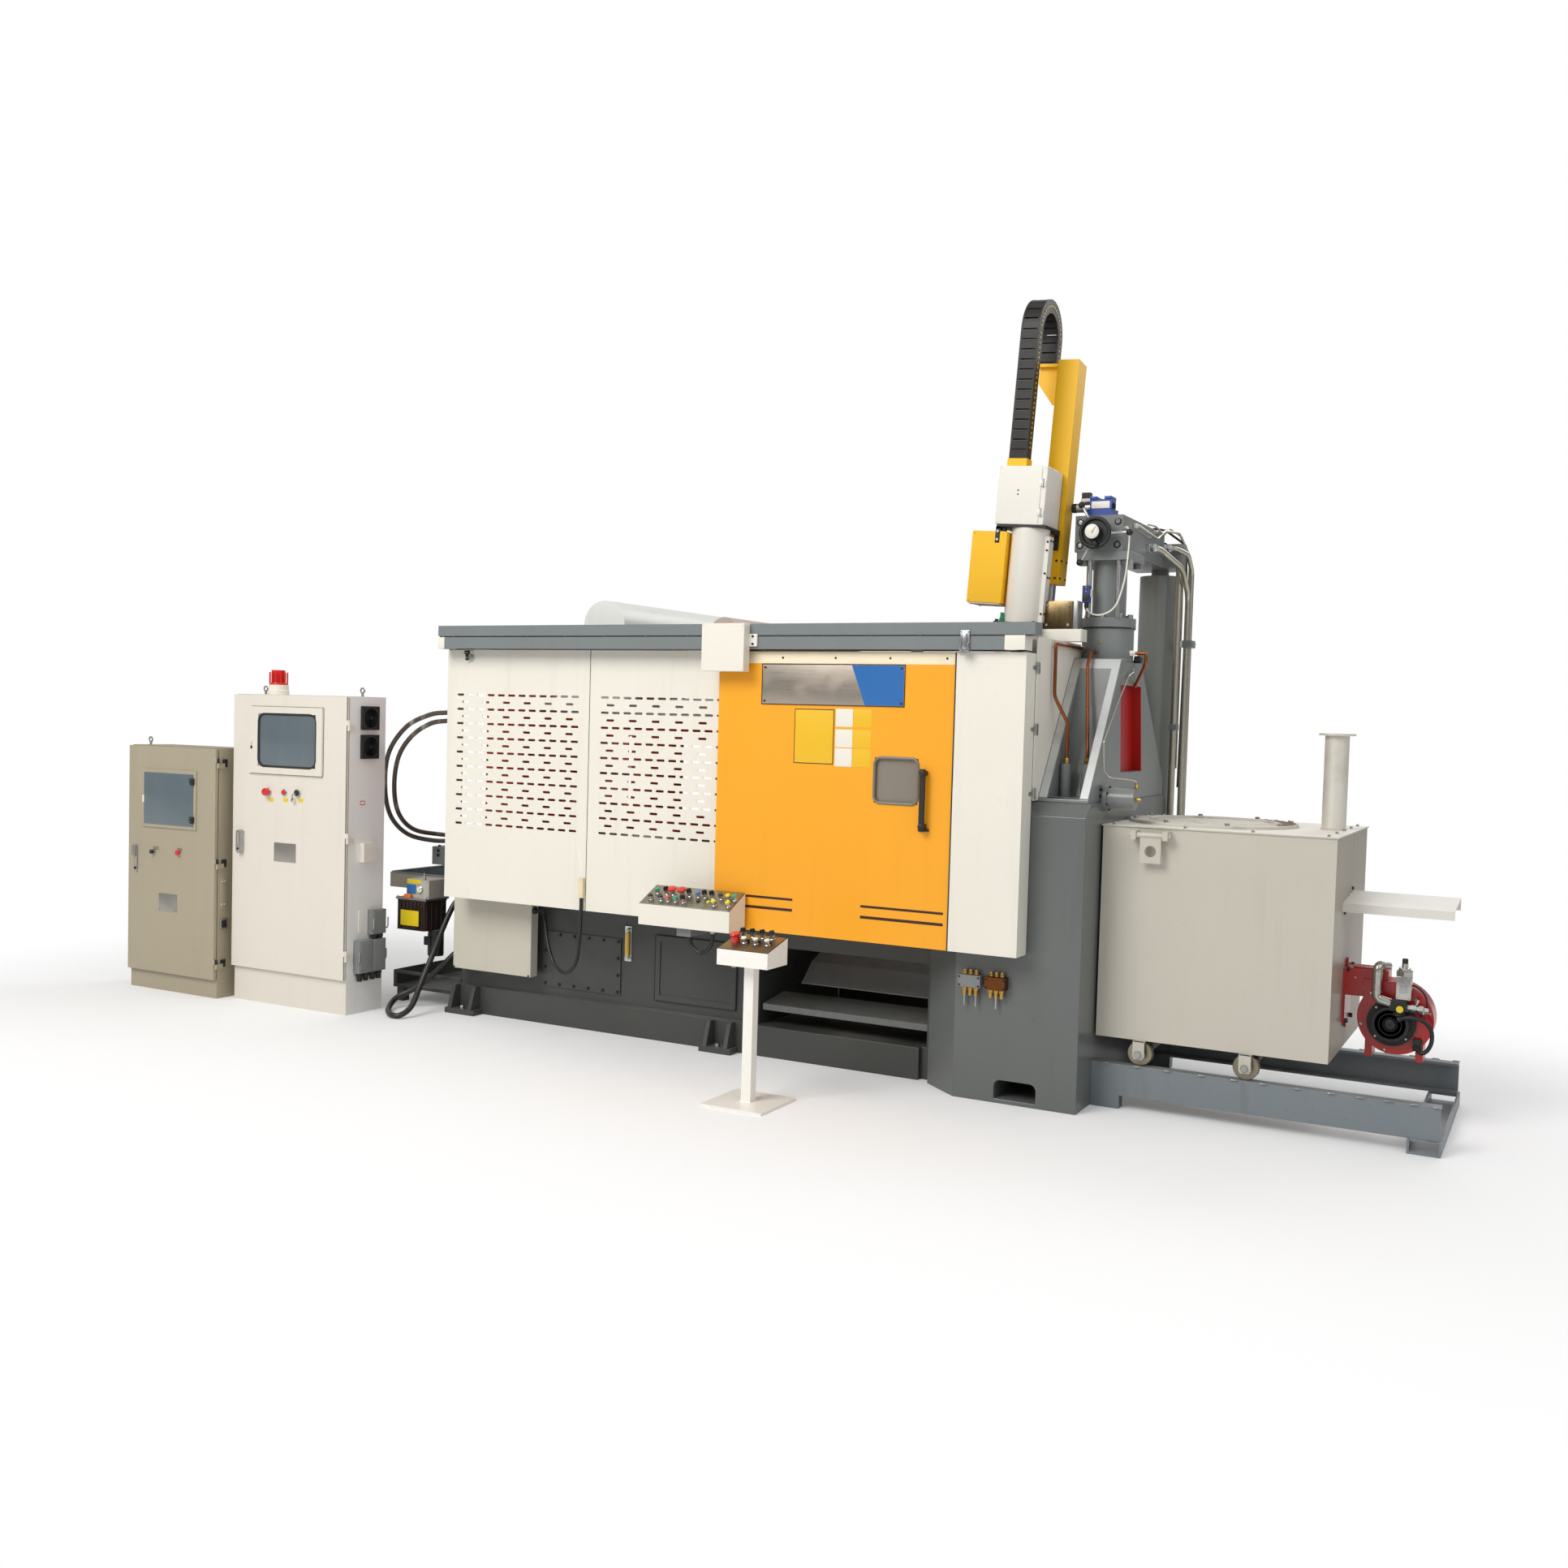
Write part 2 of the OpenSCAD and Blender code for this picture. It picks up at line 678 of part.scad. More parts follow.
module robot_mast() {
    rear = chain_y + 2 * chain_r;
    color("#f5c51c") robot_axes() {
        across(mast_x0, mast_x1)
            polygon([[mast_y0, 215], [mast_y1, 215], [mast_y1, bracket_z - 4], [mast_y0, bracket_z + 6]]);
        block([chain_x - chain_w / 2 - 4, rear - chain_t / 2 - 4, bracket_z - 14],
            [mast_x0, rear + chain_t / 2 + 4, bracket_z]);
        along(rear - 6, rear + 6) polygon([[chain_x - chain_w / 2, bracket_z - 14], [mast_x0, bracket_z - 14],
            [mast_x0, bracket_z - 190], [mast_x0 - 40, bracket_z - 190],
            [chain_x - chain_w / 2, bracket_z - 90]]);
        block([chain_x - chain_w / 2 - 4, chain_y - chain_t / 2 - 5, 735],
            [chain_x + chain_w / 2 + 4, chain_y + chain_t / 2 + 5, chain_foot]);
    }
    color("#8a8f91") robot_axes() {
        rod_z([-125, -95, 120], 50, 95);
        block([mast_x0, -160, 475], [-96, mast_y0, 700]);
    }
}

// Straight link of the energy chain: two side plates joined by two covers
module chain_link() {
    for (s = [-1, 1]) {
        translate([s * (chain_w - 10) / 2, 0, 0])
            cube([10, chain_t, link_pitch - link_gap], center = true);
        translate([0, s * (chain_t - 6) / 2, 0]) cube([chain_w - 19, 6, link_pitch - 6], center = true);
    }
}

// Link in the bend, turned about the bend's axis by rotate_extrude
module bent_link(turn) {
    slack = link_gap / chain_r * 57;
    rotate([0, 0, slack / 2]) rotate_extrude(angle = turn - slack, $fn = 96)
        for (s = [-1, 1]) translate([chain_r - chain_t / 2, s * (chain_w - 10) / 2 - 5]) square([chain_t, 10]);
    rotate([0, 0, turn * 0.07]) rotate_extrude(angle = turn * 0.86, $fn = 96)
        for (r = [chain_r - chain_t / 2 + 1, chain_r + chain_t / 2 - 7])
            translate([r, 9.5 - chain_w / 2]) square([6, chain_w - 19]);
}

// Links up the front run, over the bend and down to the mast's bracket
module cable_chain() {
    high = chain_top - chain_r - chain_t / 2;
    n_front = floor((high - chain_foot) / link_pitch);
    n_rear = floor((high - bracket_z) / link_pitch);
    turn = 180 / bend_links;
    color("#2f2926") robot_axes() {
        for (i = [0 : n_front - 1]) translate([chain_x, chain_y, high - (i + 0.5) * link_pitch]) chain_link();
        for (i = [0 : n_rear - 1])
            translate([chain_x, chain_y + 2 * chain_r, high - (i + 0.5) * link_pitch]) chain_link();
        translate([chain_x, chain_y + chain_r, high]) rotate([0, -90, 0])
            for (k = [0 : bend_links - 1]) rotate([0, 0, -90 + k * turn]) bent_link(turn);
        block([chain_x - chain_w / 2, chain_y - chain_t / 2, chain_foot],
            [chain_x + chain_w / 2, chain_y + chain_t / 2, high - n_front * link_pitch - link_gap]);
        block([chain_x - chain_w / 2, chain_y + 2 * chain_r - chain_t / 2, bracket_z],
            [chain_x + chain_w / 2, chain_y + 2 * chain_r + chain_t / 2, high - n_rear * link_pitch - link_gap]);
    }
}

// Corners of the opening through the frame's side plates
function side_window() = [[-195, frame_top - 122], [160, frame_top - 122], [221, ped_h + 130], [-140, ped_h + 130]];

// Cast frame that carries the shot cylinder: two sloping side plates and a web
module shot_frame() {
    outline = [[-640, ped_h], [640, ped_h], [640, ped_h + 91], [150, frame_top], [-184, frame_top], [-640, ped_h + 15]];
    color("#6e7476") difference() {
        across(frame_x0, frame_x1) polygon(outline);
        across(frame_x0 - 1, frame_x1 + 1) polygon(side_window());
        across(frame_x0 + side_plate, frame_x1 - side_plate)
            polygon([[-700, lock_floor], [-420, lock_floor], [-220, frame_top - 45], [-330, frame_top - 45],
                [-700, ped_h + 135]]);
    }
}

module red_guard() {
    x1 = frame_x1 - side_plate;
    color("#b5120f") across(x1 - sheet, x1) polygon(side_window());
}

module shot_cylinder() {
    color("#6e7476") {
        rod_z([shot_x, 0, frame_top], shot_flange_d - 14, flange_z - frame_top);
        rod_z([shot_x, 0, flange_z], shot_flange_d, tube_z - flange_z);
        rod_z([shot_x, 0, tube_z], shot_tube_d, manifold_z - 40 - tube_z);
        block([shot_x - 128, -128, manifold_z - 40], [shot_x + 128, 128, manifold_z]);
    }
    color("#5a5d5e") for (a = [0 : 45 : 315]) {
        rod_z([shot_x + 105 * cos(a), 105 * sin(a), tube_z], 22, 14);
    }
    color("#b8bcbe") for (s = [-1, 1]) rod_z([shot_x + s * 70, -105, tube_z], 26, manifold_z - 40 - tube_z);
    color("#2b4fa0") block([shot_x - 88, -150, tube_z + 68], [shot_x - 52, -118, tube_z + 148]);
}

module shot_manifold() {
    color("#8a8f91") {
        block([11, -130, manifold_z], [240, 640, manifold_top]);
        block([40, 640, manifold_z], [328, 750, manifold_z + 120]);
        block([40, 750, manifold_z], [270, 880, manifold_z + 120]);
        rod_y([hand_x, -146, hand_z], 70, 16);
    }
    color("#b8bcbe") rod_y([hand_x, -236, hand_z], shaft_d, 90);
    color("#2b2b2b") for (z = [manifold_z + 30, manifold_z + 138]) rod_y([216, -136, z], 20, 6);
}

module shot_valve() {
    color("#2b4fa0") {
        block([62, -120, manifold_top], [186, -30, manifold_top + 24]);
        block([72, -112, manifold_top + 24], [176, -38, manifold_top + 78]);
    }
    color("#c9ccce") rod_x([0, -75, manifold_top + 45], 44, 72);
    color("#2b2b2b") {
        rod_x([-24, -75, manifold_top + 45], 40, 24);
        block([26, -95, manifold_top + 60], [66, -55, manifold_top + 115]);
    }
}

module handwheel() {
    color("#2b2b2b") translate([hand_x, -206, hand_z]) rotate([90, 0, 0]) difference() {
        union() {
            rotate_extrude($fn = 64) translate([hand_d / 2 - 10, 0]) circle(10, $fn = 24);
            translate([0, 0, -8]) cylinder(d = hand_d - 16, h = 6);
            translate([0, 0, -10]) cylinder(d = 50, h = 20);
        }
        translate([0, 0, -11]) cylinder(d = shaft_d + 2 * fit, h = 22);
    }
}

module star_handle() {
    arm = 120;
    color("#b8bcbe") translate([hand_x, -175, hand_z]) rotate([90, 0, 0]) {
        difference() {
            union() {
                translate([0, 0, -12]) cylinder(d = 52, h = 24);
                for (a = [0, 120, 240]) rotate([0, 0, a]) translate([20, 0, 0])
                    rotate([0, 90, 0]) cylinder(d = 12, h = arm);
            }
            translate([0, 0, -13]) cylinder(d = shaft_d + 2 * fit, h = 26);
        }
        for (a = [0, 120, 240]) rotate([0, 0, a]) translate([20 + arm, 0, 0]) rotate([0, 90, 0])
            rotate_extrude($fn = 48) intersection() {
                translate([0, 15]) circle(16);
                square([20, 40]);
            }
    }
}

module accumulator() {
    color("#8a8f91") {
        rod_z([acc_x, acc_y, ped_h - 109], acc_d, manifold_z - ped_h + 79);
        rod_z([acc_x, acc_y, manifold_z - 30], 90, 30);
    }
    color("#5a5d5e") difference() {
        block([acc_x - 120, ped_half_y, ped_h - 103], [acc_x + 100, acc_y, ped_h - 75]);
        rod_z([acc_x, acc_y, ped_h - 104], acc_d, 30);
    }
}

module shot_pipes() {
    low = ped_h - 265;
    tall_x = ped_half_x + 20;
    side_x = ped_half_x + 56;
    tall = rounded([[tall_x, 690, manifold_z], [tall_x, 690, low + 50], [ped_half_x, 690, low + 50]], 14);
    side = rounded([[240, 300, manifold_z + 60], [300, 300, manifold_z + 60], [side_x, 600, manifold_z - 10],
        [side_x, 745, manifold_z - 130], [side_x, 745, low], [250, 745, low], [250, ped_half_y, low]], 30);
    color("#b9b2a2") {
        swept(tall, 17, 10);
        swept(side, 14, 10);
    }
}

module copper_pipes() {
    color("#b5703a") {
        swept(rounded([[62, -92, frame_top + 48], [62, -515, frame_top + 48], [62, -510, frame_top - 189],
            [lock_at[0].x, lock_at[0].y, frame_top - 309], [lock_at[0].x, lock_at[0].y, lock_top]], 15), 8);
        swept(rounded([[130, -122, frame_top + 33], [130, -190, frame_top + 33], [135, -262, frame_top - 37],
            [lock_at[1].x, lock_at[1].y, lock_top + 65], [lock_at[1].x, lock_at[1].y, lock_top]], 15), 8);
    }
}

module lock_cylinders() {
    color("#8a8f91") {
        for (p = lock_at) rod_z([p.x, p.y, lock_floor], 50, lock_top - lock_floor);
        block([frame_x1, -480, ped_h + fit], [ped_half_x + fit, -380, ped_h + 80]);
        rod_x([ped_half_x + fit, -430, lock_floor], 120, 18);
        rod_x([ped_half_x + 18, -430, lock_floor], 96, 120);
    }
    color("#c8a24a") rod_x([ped_half_x + 138, -430, lock_floor], 20, 24);
}

// Saddle on the furnace's wall, bored for a lifting pipe
module saddle(x, y, wall_y) {
    difference() {
        block([x, y + sign(y) * 20, lug_z - 20], [x + 24, wall_y - sign(y) * 6, lug_z + 20]);
        rod_x([x - 1, y, lug_z], lug_pipe_d + 2 * fit, 26);
    }
}

module furnace_body() {
    x0 = furnace_x0;
    x1 = furnace_x1;
    lip = 6;
    color("#bfbbae") {
        block([x0 + lip, lip - furnace_front, furnace_floor], [x1 - lip, furnace_back - lip, furnace_top - lip]);
        block([x0, -furnace_front, furnace_top - lip], [x1, furnace_back, furnace_top]);
    }
    color("#4c4f50") for (x = wheel_x) both_sides()
        difference() {
            block([x - 45, -wheel_y + wheel_t + 11, wheel_z - 32], [x + 45, -wheel_y + wheel_t + 31, furnace_floor]);
            rod_y([x, -wheel_y + wheel_t + 10, wheel_z], axle_d + 2 * fit, 22);
        }
    // Saddles for the two lifting pipes
    color("#bfbbae") for (x = [440, 580]) {
        saddle(x, -lug_y, -furnace_front);
        saddle(x, lug_y, furnace_back);
    }
}

module furnace_lid() {
    cx = 680;
    color("#8d8878") {
        difference() {
            rod_z([cx, 0, furnace_top], 754, 14);
            rod_z([cx, 0, furnace_top - 1], 580, 20);
        }
        rod_z([cx, 0, furnace_top], 580, 8);
    }
}

module furnace_flue() {
    color("#bfbbae") {
        rod_z([1200, 75, furnace_top], flue_d, 424);
        rod_z([1200, 75, furnace_top + 424], flue_d + 52, 10);
    }
}

// Lifting lug: a pipe carried in two saddles, with a plate and its eye
module lug() {
    color("#c8c4b6") {
        rod_x([432, -lug_y, lug_z], lug_pipe_d, 180);
        difference() {
            block([480, -lug_y - 6, lug_z - 123], [573, -lug_y + 6, lug_z]);
            rod_y([527, -lug_y - 7, lug_z - 71], 50, 14);
        }
    }
}

module front_lug() { lug(); }
module rear_lug() { mirror([0, 1, 0]) lug(); }

module burner_roof() {
    x0 = furnace_x1 - 6;
    color("#c8c4b6") {
        across(x0, 1740) polygon([[-256, 938], [-252, 938], [-252, 972], [60, 1000], [60, 1004], [-256, 976]]);
        across(x0, 1740) polygon([[60, 1000], [64, 950], [68, 950], [64, 1004], [60, 1004]]);
    }
}

module burner() {
    x0 = furnace_x1 - 6;
    color("#b5120f") {
        across(x0, x0 + 12) translate([-45, 560]) {
            square([190, 240], center = true);
            for (s = [-1, 1]) translate([0, s * 120]) circle(35);
        }
        block([x0 + 12, burner_y - 60, 560], [1480, burner_y + 60, 680]);
        along(burner_y - 70, burner_y + 70) {
            translate([1514, burner_z]) circle(155, $fn = 72);
            translate([1380, burner_z]) square([134, 160]);
        }
        for (x = [1395, 1600]) block([x, burner_y - 60, 300], [x + 30, burner_y + 60, 400]);
    }
    color("#2b2b2b") {
        rod_y([1501, burner_y - 90, 462], 200, 20);
        rod_y([1501, burner_y - 130, 462], 150, 40);
    }
}

module gas_train() {
    y = burner_y - 130;
    color("#b8bcbe") {
        block([1470, y - 20, 590], [1570, y + 60, 680]);
        rod_z([1520, y, 680], 70, 50);
        rod_x([1570, y, 610], 36, 100);
    }
    color("#8a8f91")
        swept(rounded([[1470, y + 10, 620], [1400, y + 10, 620], [1390, y + 20, 720], [1390, y + 70, 735]], 30), 16);
    color("#2b2b2b") rod_z([1520, y, 730], 26, 20);
}

// Two wheels on one axle
module wheels(x) {
    color("#5a5d5e") {
        rod_y([x, -wheel_y - 6, wheel_z], axle_d, 2 * wheel_y + 12);
        for (s = [-1, 1]) translate([x, s * (wheel_y - wheel_t / 2), wheel_z]) rotate([90, 0, 0])
            translate([0, 0, -wheel_t / 2]) cylinder(d = wheel_d, h = wheel_t);
    }
}

module left_wheels() { wheels(wheel_x[0]); }
module right_wheels() { wheels(wheel_x[1]); }

module furnace_rails() {
    top = 60 + rail_beam_h;
    color("#7d8486") {
        for (y = [-493, 433]) difference() {
            block([ped_half_x, y, 60], [rail_x_end - 8, y + beam_w, top]);
            block([ped_half_x - 1, y < 0 ? y + 10 : y - 1, 70], [rail_x_end - 7, y < 0 ? y + 61 : y + 50, top - 12]);
        }
        difference() {
            block([1616, -510, 0], [rail_x_end, 510, 60]);
            block([1626, -511, 10], [rail_x_end - 10, 511, 61]);
        }
        block([1626, -500, 50], [1736, -433, 60]);
        block([1626, 433, 50], [1736, 500, 60]);
        for (y = [-493, 433]) block([ped_half_x, y, 0], [420, y + beam_w, 60]);
    }
}

// Steel cabinet shell, open at its front, on a plinth
module cabinet_shell(x0, w, y, h, plinth) {
    t = sheet;
    difference() {
        block([x0, -y + cab_door_t + run, 0], [x0 + w, -y + cab_d, h]);
        block([x0 + t, -y + cab_door_t + run - 1, plinth], [x0 + w - t, -y + cab_d - t, h - t]);
    }
}

cab_hinge_r = 8;

module cabinet_1() {
    color("#e4dfd0") {
        cabinet_shell(cab1_x0, cab1_w, cab1_y, cab1_h, plinth_1);
        hinge_pins(cab1_x1, cab1_y, [201, 781, 1359]);
    }
    color("#5a5d5e") translate([-5313, -cab1_y + 60, cab1_h]) eyebolt();
}

// Fixed hinge halves at a cabinet's right edge
module hinge_pins(x, y, zs) {
    for (z = zs) {
        rod_z([x + 10, -y + 10, z - 30], 2 * cab_hinge_r, 29);
        rod_z([x + 10, -y + 10, z - 2], 8, 32);
        block([x, -y + 10, z - 30], [x + 10, -y + 60, z - 1]);
    }
}

// Hinge halves on the door
module hinge_sleeves(x, y, zs) {
    for (z = zs) difference() {
        union() {
            rod_z([x + 10, -y + 10, z], 2 * cab_hinge_r, 28);
            block([x - 20, -y, z], [x + 10, -y + 6, z + 28]);
        }
        rod_z([x + 10, -y + 10, z - 1], 8 + 2 * fit, 32);
    }
}

module eyebolt() {
    rod_z([0, 0, 0], 14, 22);
    translate([0, 3, 34]) rotate([90, 0, 0]) difference() {
        cylinder(d = 34, h = 6);
        translate([0, 0, -1]) cylinder(d = 20, h = 8);
    }
}

module cabinet_1_door() {
    x0 = cab1_x0;
    front = -cab1_y;
    color("#e4dfd0") difference() {
        union() {
            block([x0, front, plinth_1 + 2], [cab1_x1, front + cab_door_t, cab1_h - 4]);
            block([-5300, front - 8, 965], [-4842, front, 1306]);
        }
        block([-5270, front - 9, 995], [-4872, front - 1, 1276]);
    }
    color("#e4dfd0") hinge_sleeves(cab1_x1, cab1_y, [201, 781, 1359]);
    color("#2b2b2b") block([-5372, front - 22, 790], [-5344, front, 850]);
    color("#b8bcbe") rod_y([-5198, front - 12, 820], 26, 12);
    color("#e3231b") rod_y([-4985, front - 20, 827], 30, 20);
}

module cabinet_2() {
    side = cab2_x1;
    color("#f4f3ec") {
        cabinet_shell(cab2_x0, cab2_w, cab2_y, cab2_h, plinth_2);
        hinge_pins(cab2_x1, cab2_y, [330, 980, 1600]);
    }
    color("#2b2b2b") {
        block([side, -910, 1577], [side + 16, -780, 1708]);
        block([side, -910, 1417], [side + 16, -780, 1550]);
        block([side, -834, 435], [side + 40, -730, 571]);
    }
    color("#8a8f91") {
        block([side, -900, 844], [side + 30, -802, 950]);
        block([side, -940, 229], [side + 50, -740, 408]);
    }
    color("#e3231b") {
        rod_z([-4410, -900, cab2_h], 90, 25);
        rod_z([-4410, -900, cab2_h + 25], 75, 115);
    }
    color("#5a5d5e") for (x = [-4552, -3800]) translate([x, -860, cab2_h]) eyebolt();
}

module cabinet_2_door() {
    x0 = cab2_x0;
    front = -cab2_y;
    color("#f4f3ec") difference() {
        union() {
            block([x0, front, plinth_2 + 2], [cab2_x1, front + cab_door_t, cab2_h - 4]);
            block([-4501, front - 14, 1313], [-3932, front, 1691]);
        }
        block([-4425, front - 15, 1354], [-3979, front - 4, 1651]);
    }
    color("#f4f3ec") hinge_sleeves(cab2_x1, cab2_y, [330, 980, 1600]);
    color("#2b2b2b") block([-4580, front - 26, 859], [-4541, front, 978]);
    color("#e3231b") {
        rod_y([-4350, front - 30, 1210], 40, 30);
        rod_y([-4223, front - 14, 1212], 28, 14);
    }
    color("#b8bcbe") rod_y([-4116, front - 14, 1215], 28, 14);
}

// Operator's console on an arm from the bed
module console() {
    x0 = -1837;
    x1 = -1325;
    foot = panel_z - 1;
    color("#f4f3ec") across(x0, x1)
        polygon([[-1000, foot], [-850, foot], [-850, foot + 176], [-1000, foot + 101]]);
    color("#c9ccce") across(x0 + 5, x1 - 5)
        polygon([[-999, foot + 101.5], [-851, foot + 175.5], [-851, foot + 180], [-999, foot + 106]]);
    color("#8d9294") {
        block([-1640, -960, foot - 44], [-1560, -bed_half, foot - 6]);
        block([-1640, -960, foot - 6], [-1560, -860, foot]);
    }
}

module control_station() {
    color("#f4f3ec") {
        block([-1150, -1508, 0], [-845, -1189, 12]);
        block([-1023, -1373, 12], [-975, -1325, 625]);
        across(-1119, -865)
            polygon([[-1450, 620], [-1270, 620], [-1270, 738], [-1450, 690]]);
    }
    color("#e3231b") rod_z([-1078, -1360, 708], 40, 36);
    color("#2b2b2b") for (x = [-1020, -965, -910]) rod_z([x, -1360, 708], 26, 22);
}

module electrical_box() {
    color("#f4f3ec") {
        block([-3342, -600, 260], [-2800, -538, 690]);
        for (z = [320, 600]) block([-3300, -538, z], [-2850, -bed_half, z + 30]);
    }
}

// Drip tray, drive block, pump head on its reservoir, and motor at the left end
module lube_unit() {
    color("#8a8f91") {
        difference() {
            across(-4053, -3624) polygon([[-350, 640], [350, 640], [350, 728], [-350, 728]]);
            block([-4049, -346, 644], [-3628, 346, 729]);
        }
        block([-3624, -60, 690], [bed_x0, 60, 760]);
        block([-3820, -250, 782], [bed_x0, 250, 888]);
        block([-3600, -250, bed_h + 22], [end_x0 - 60, 250, 981]);
        block([-3500, -60, 760], [-3400, 60, 782]);
    }
    color("#d9d6cc") {
        block([-3730, -560, 622], [-3564, -430, 727]);
        block([-3785, -590, 610], [-3560, -390, 622]);
        block([-3700, -430, 650], [-3660, -350, 700]);
    }
    color("#5c4632") block([-3773, -580, 437], [-3572, -400, 610]);
    color("#2b2b2b") rod_z([-3585, -470, 287], 90, 150);
}

module service_hoses() {
    color("#2b2b2b") {
        swept(lube_hose_1, 13);
        swept(lube_hose_2, 13);
        swept(floor_hose, 16);
        swept(switch_cable, 9);
    }
    color("#f0eee6") swept(sensor_cable, 4);
}

machine_base();
base_feet();
left_frame();
base_covers();
discharge_chute();
die_pedestal();
valve_blocks();
cover_frame();
left_panel();
middle_panel();
rear_panels();
side_cover();
top_rail();
rail_box();
safety_door();
door_window();
door_handle();
right_cover();
end_platen();
moving_platen();
fixed_platen();
tie_bars();
toggle_links();
top_hoods();
robot_column();
robot_box();
robot_mast();
cable_chain();
shot_frame();
red_guard();
shot_cylinder();
shot_manifold();
shot_valve();
handwheel();
star_handle();
accumulator();
shot_pipes();
copper_pipes();
lock_cylinders();
furnace_body();
furnace_lid();
furnace_flue();
front_lug();
rear_lug();
burner_roof();
burner();
gas_train();
left_wheels();
right_wheels();
furnace_rails();
cabinet_1();
cabinet_1_door();
cabinet_2();
cabinet_2_door();
console();
control_station();
electrical_box();
lube_unit();
service_hoses();
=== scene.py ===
import json
import math

import bmesh
import bpy
import numpy as np
from mathutils import Matrix, Vector

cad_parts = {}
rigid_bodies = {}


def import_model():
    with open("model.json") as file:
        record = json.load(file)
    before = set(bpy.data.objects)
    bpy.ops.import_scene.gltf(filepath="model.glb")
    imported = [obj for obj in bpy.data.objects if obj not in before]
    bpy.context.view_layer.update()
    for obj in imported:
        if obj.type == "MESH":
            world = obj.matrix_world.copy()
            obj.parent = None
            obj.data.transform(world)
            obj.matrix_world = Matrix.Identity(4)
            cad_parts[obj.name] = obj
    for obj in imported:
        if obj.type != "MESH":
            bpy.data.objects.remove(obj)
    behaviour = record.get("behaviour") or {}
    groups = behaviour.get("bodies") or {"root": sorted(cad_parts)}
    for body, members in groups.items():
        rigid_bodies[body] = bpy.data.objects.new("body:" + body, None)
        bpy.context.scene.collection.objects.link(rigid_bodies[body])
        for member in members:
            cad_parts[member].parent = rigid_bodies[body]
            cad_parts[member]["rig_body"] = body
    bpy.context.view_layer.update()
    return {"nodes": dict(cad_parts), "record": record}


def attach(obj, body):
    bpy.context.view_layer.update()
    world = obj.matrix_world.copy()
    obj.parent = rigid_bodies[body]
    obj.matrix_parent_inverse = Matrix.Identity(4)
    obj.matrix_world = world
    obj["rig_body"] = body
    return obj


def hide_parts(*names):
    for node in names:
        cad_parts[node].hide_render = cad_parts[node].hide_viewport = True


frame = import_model()

# The view: a standing person's eye in front of the furnace end, looking along the
# machine towards the cabinets, with a normal lens.
camera = bpy.data.objects.new("camera", bpy.data.cameras.new("camera"))
bpy.context.scene.collection.objects.link(camera)
camera.data.sensor_width = 36
camera.data.lens = 34.086
camera.data.clip_end = 80
camera.matrix_world = Matrix(((0.879257, -0.045108, 0.474207, 2.190),
                              (0.475538, 0.025114, -0.879337, -7.010),
                              (0.027756, 0.998666, 0.043532, 1.700),
                              (0, 0, 0, 1)))
bpy.context.scene.camera = camera
bpy.context.scene.view_settings.view_transform = "Standard"

# The room: a white sky of soft light, one large lamp to the front left and a weaker one
# to the right, over a plain pale floor that keeps the shadow.
sky = bpy.data.worlds.new("sky")
bpy.context.scene.world = sky
sky.use_nodes = True
sky_tree = sky.node_tree
sky_tree.nodes.clear()
sky_out = sky_tree.nodes.new("ShaderNodeOutputWorld")
sky_mix = sky_tree.nodes.new("ShaderNodeMixShader")
sky_rays = sky_tree.nodes.new("ShaderNodeLightPath")
sky_soft = sky_tree.nodes.new("ShaderNodeBackground")
sky_seen = sky_tree.nodes.new("ShaderNodeBackground")
sky_soft.inputs["Strength"].default_value = 0.5
sky_seen.inputs["Color"].default_value = (1, 1, 1, 1)
sky_seen.inputs["Strength"].default_value = 1.0
seen = sky_tree.nodes.new("ShaderNodeMath")
seen.operation = "MAXIMUM"
# Away from the view the sky is bright overhead and dim round the horizon, as a hall is.
sky_way = sky_tree.nodes.new("ShaderNodeTexCoord")
sky_axes = sky_tree.nodes.new("ShaderNodeSeparateXYZ")
sky_ramp = sky_tree.nodes.new("ShaderNodeValToRGB")
HORIZON_LIGHT, OVERHEAD_LIGHT, OVERHEAD_FROM = (0.42, 0.42, 0.43, 1), (1.25, 1.25, 1.23, 1), 0.75
horizon, overhead = sky_ramp.color_ramp.elements
horizon.position, horizon.color = 0.0, HORIZON_LIGHT
overhead.position, overhead.color = OVERHEAD_FROM, OVERHEAD_LIGHT
for giver, taker in ((sky_rays.outputs["Is Camera Ray"], seen.inputs[0]),
                     (sky_rays.outputs["Is Transmission Ray"], seen.inputs[1]),
                     (seen.outputs[0], sky_mix.inputs["Fac"]),
                     (sky_way.outputs["Generated"], sky_axes.inputs[0]),
                     (sky_axes.outputs["Z"], sky_ramp.inputs["Fac"]),
                     (sky_ramp.outputs["Color"], sky_soft.inputs["Color"]),
                     (sky_soft.outputs[0], sky_mix.inputs[1]),
                     (sky_seen.outputs[0], sky_mix.inputs[2]),
                     (sky_mix.outputs[0], sky_out.inputs["Surface"])):
    sky_tree.links.new(giver, taker)


def lamp(name, place, aim, size, power, colour):
    """Square area lamp at a place, turned so that it shines at the aim."""
    data = bpy.data.lights.new(name, "AREA")
    data.size, data.energy, data.color = size, power, colour
    made_lamp = bpy.data.objects.new(name, data)
    bpy.context.scene.collection.objects.link(made_lamp)
    made_lamp.location = place
    away = made_lamp.location - Vector(aim)
    made_lamp.rotation_euler = away.to_track_quat("Z", "Y").to_euler()


lamp("key_lamp", (-3.5, -8.5, 7.5), (-1.5, 0, 1.0), 5.0, 620, (1.0, 0.985, 0.955))
lamp("side_lamp", (6.5, -4.0, 5.0), (0.5, 0, 1.0), 3.5, 60, (0.97, 0.98, 1.0))
lamp("back_lamp", (1.0, 7.0, 7.0), (-1.0, 0, 1.5), 5.0, 220, (1.0, 1.0, 1.0))


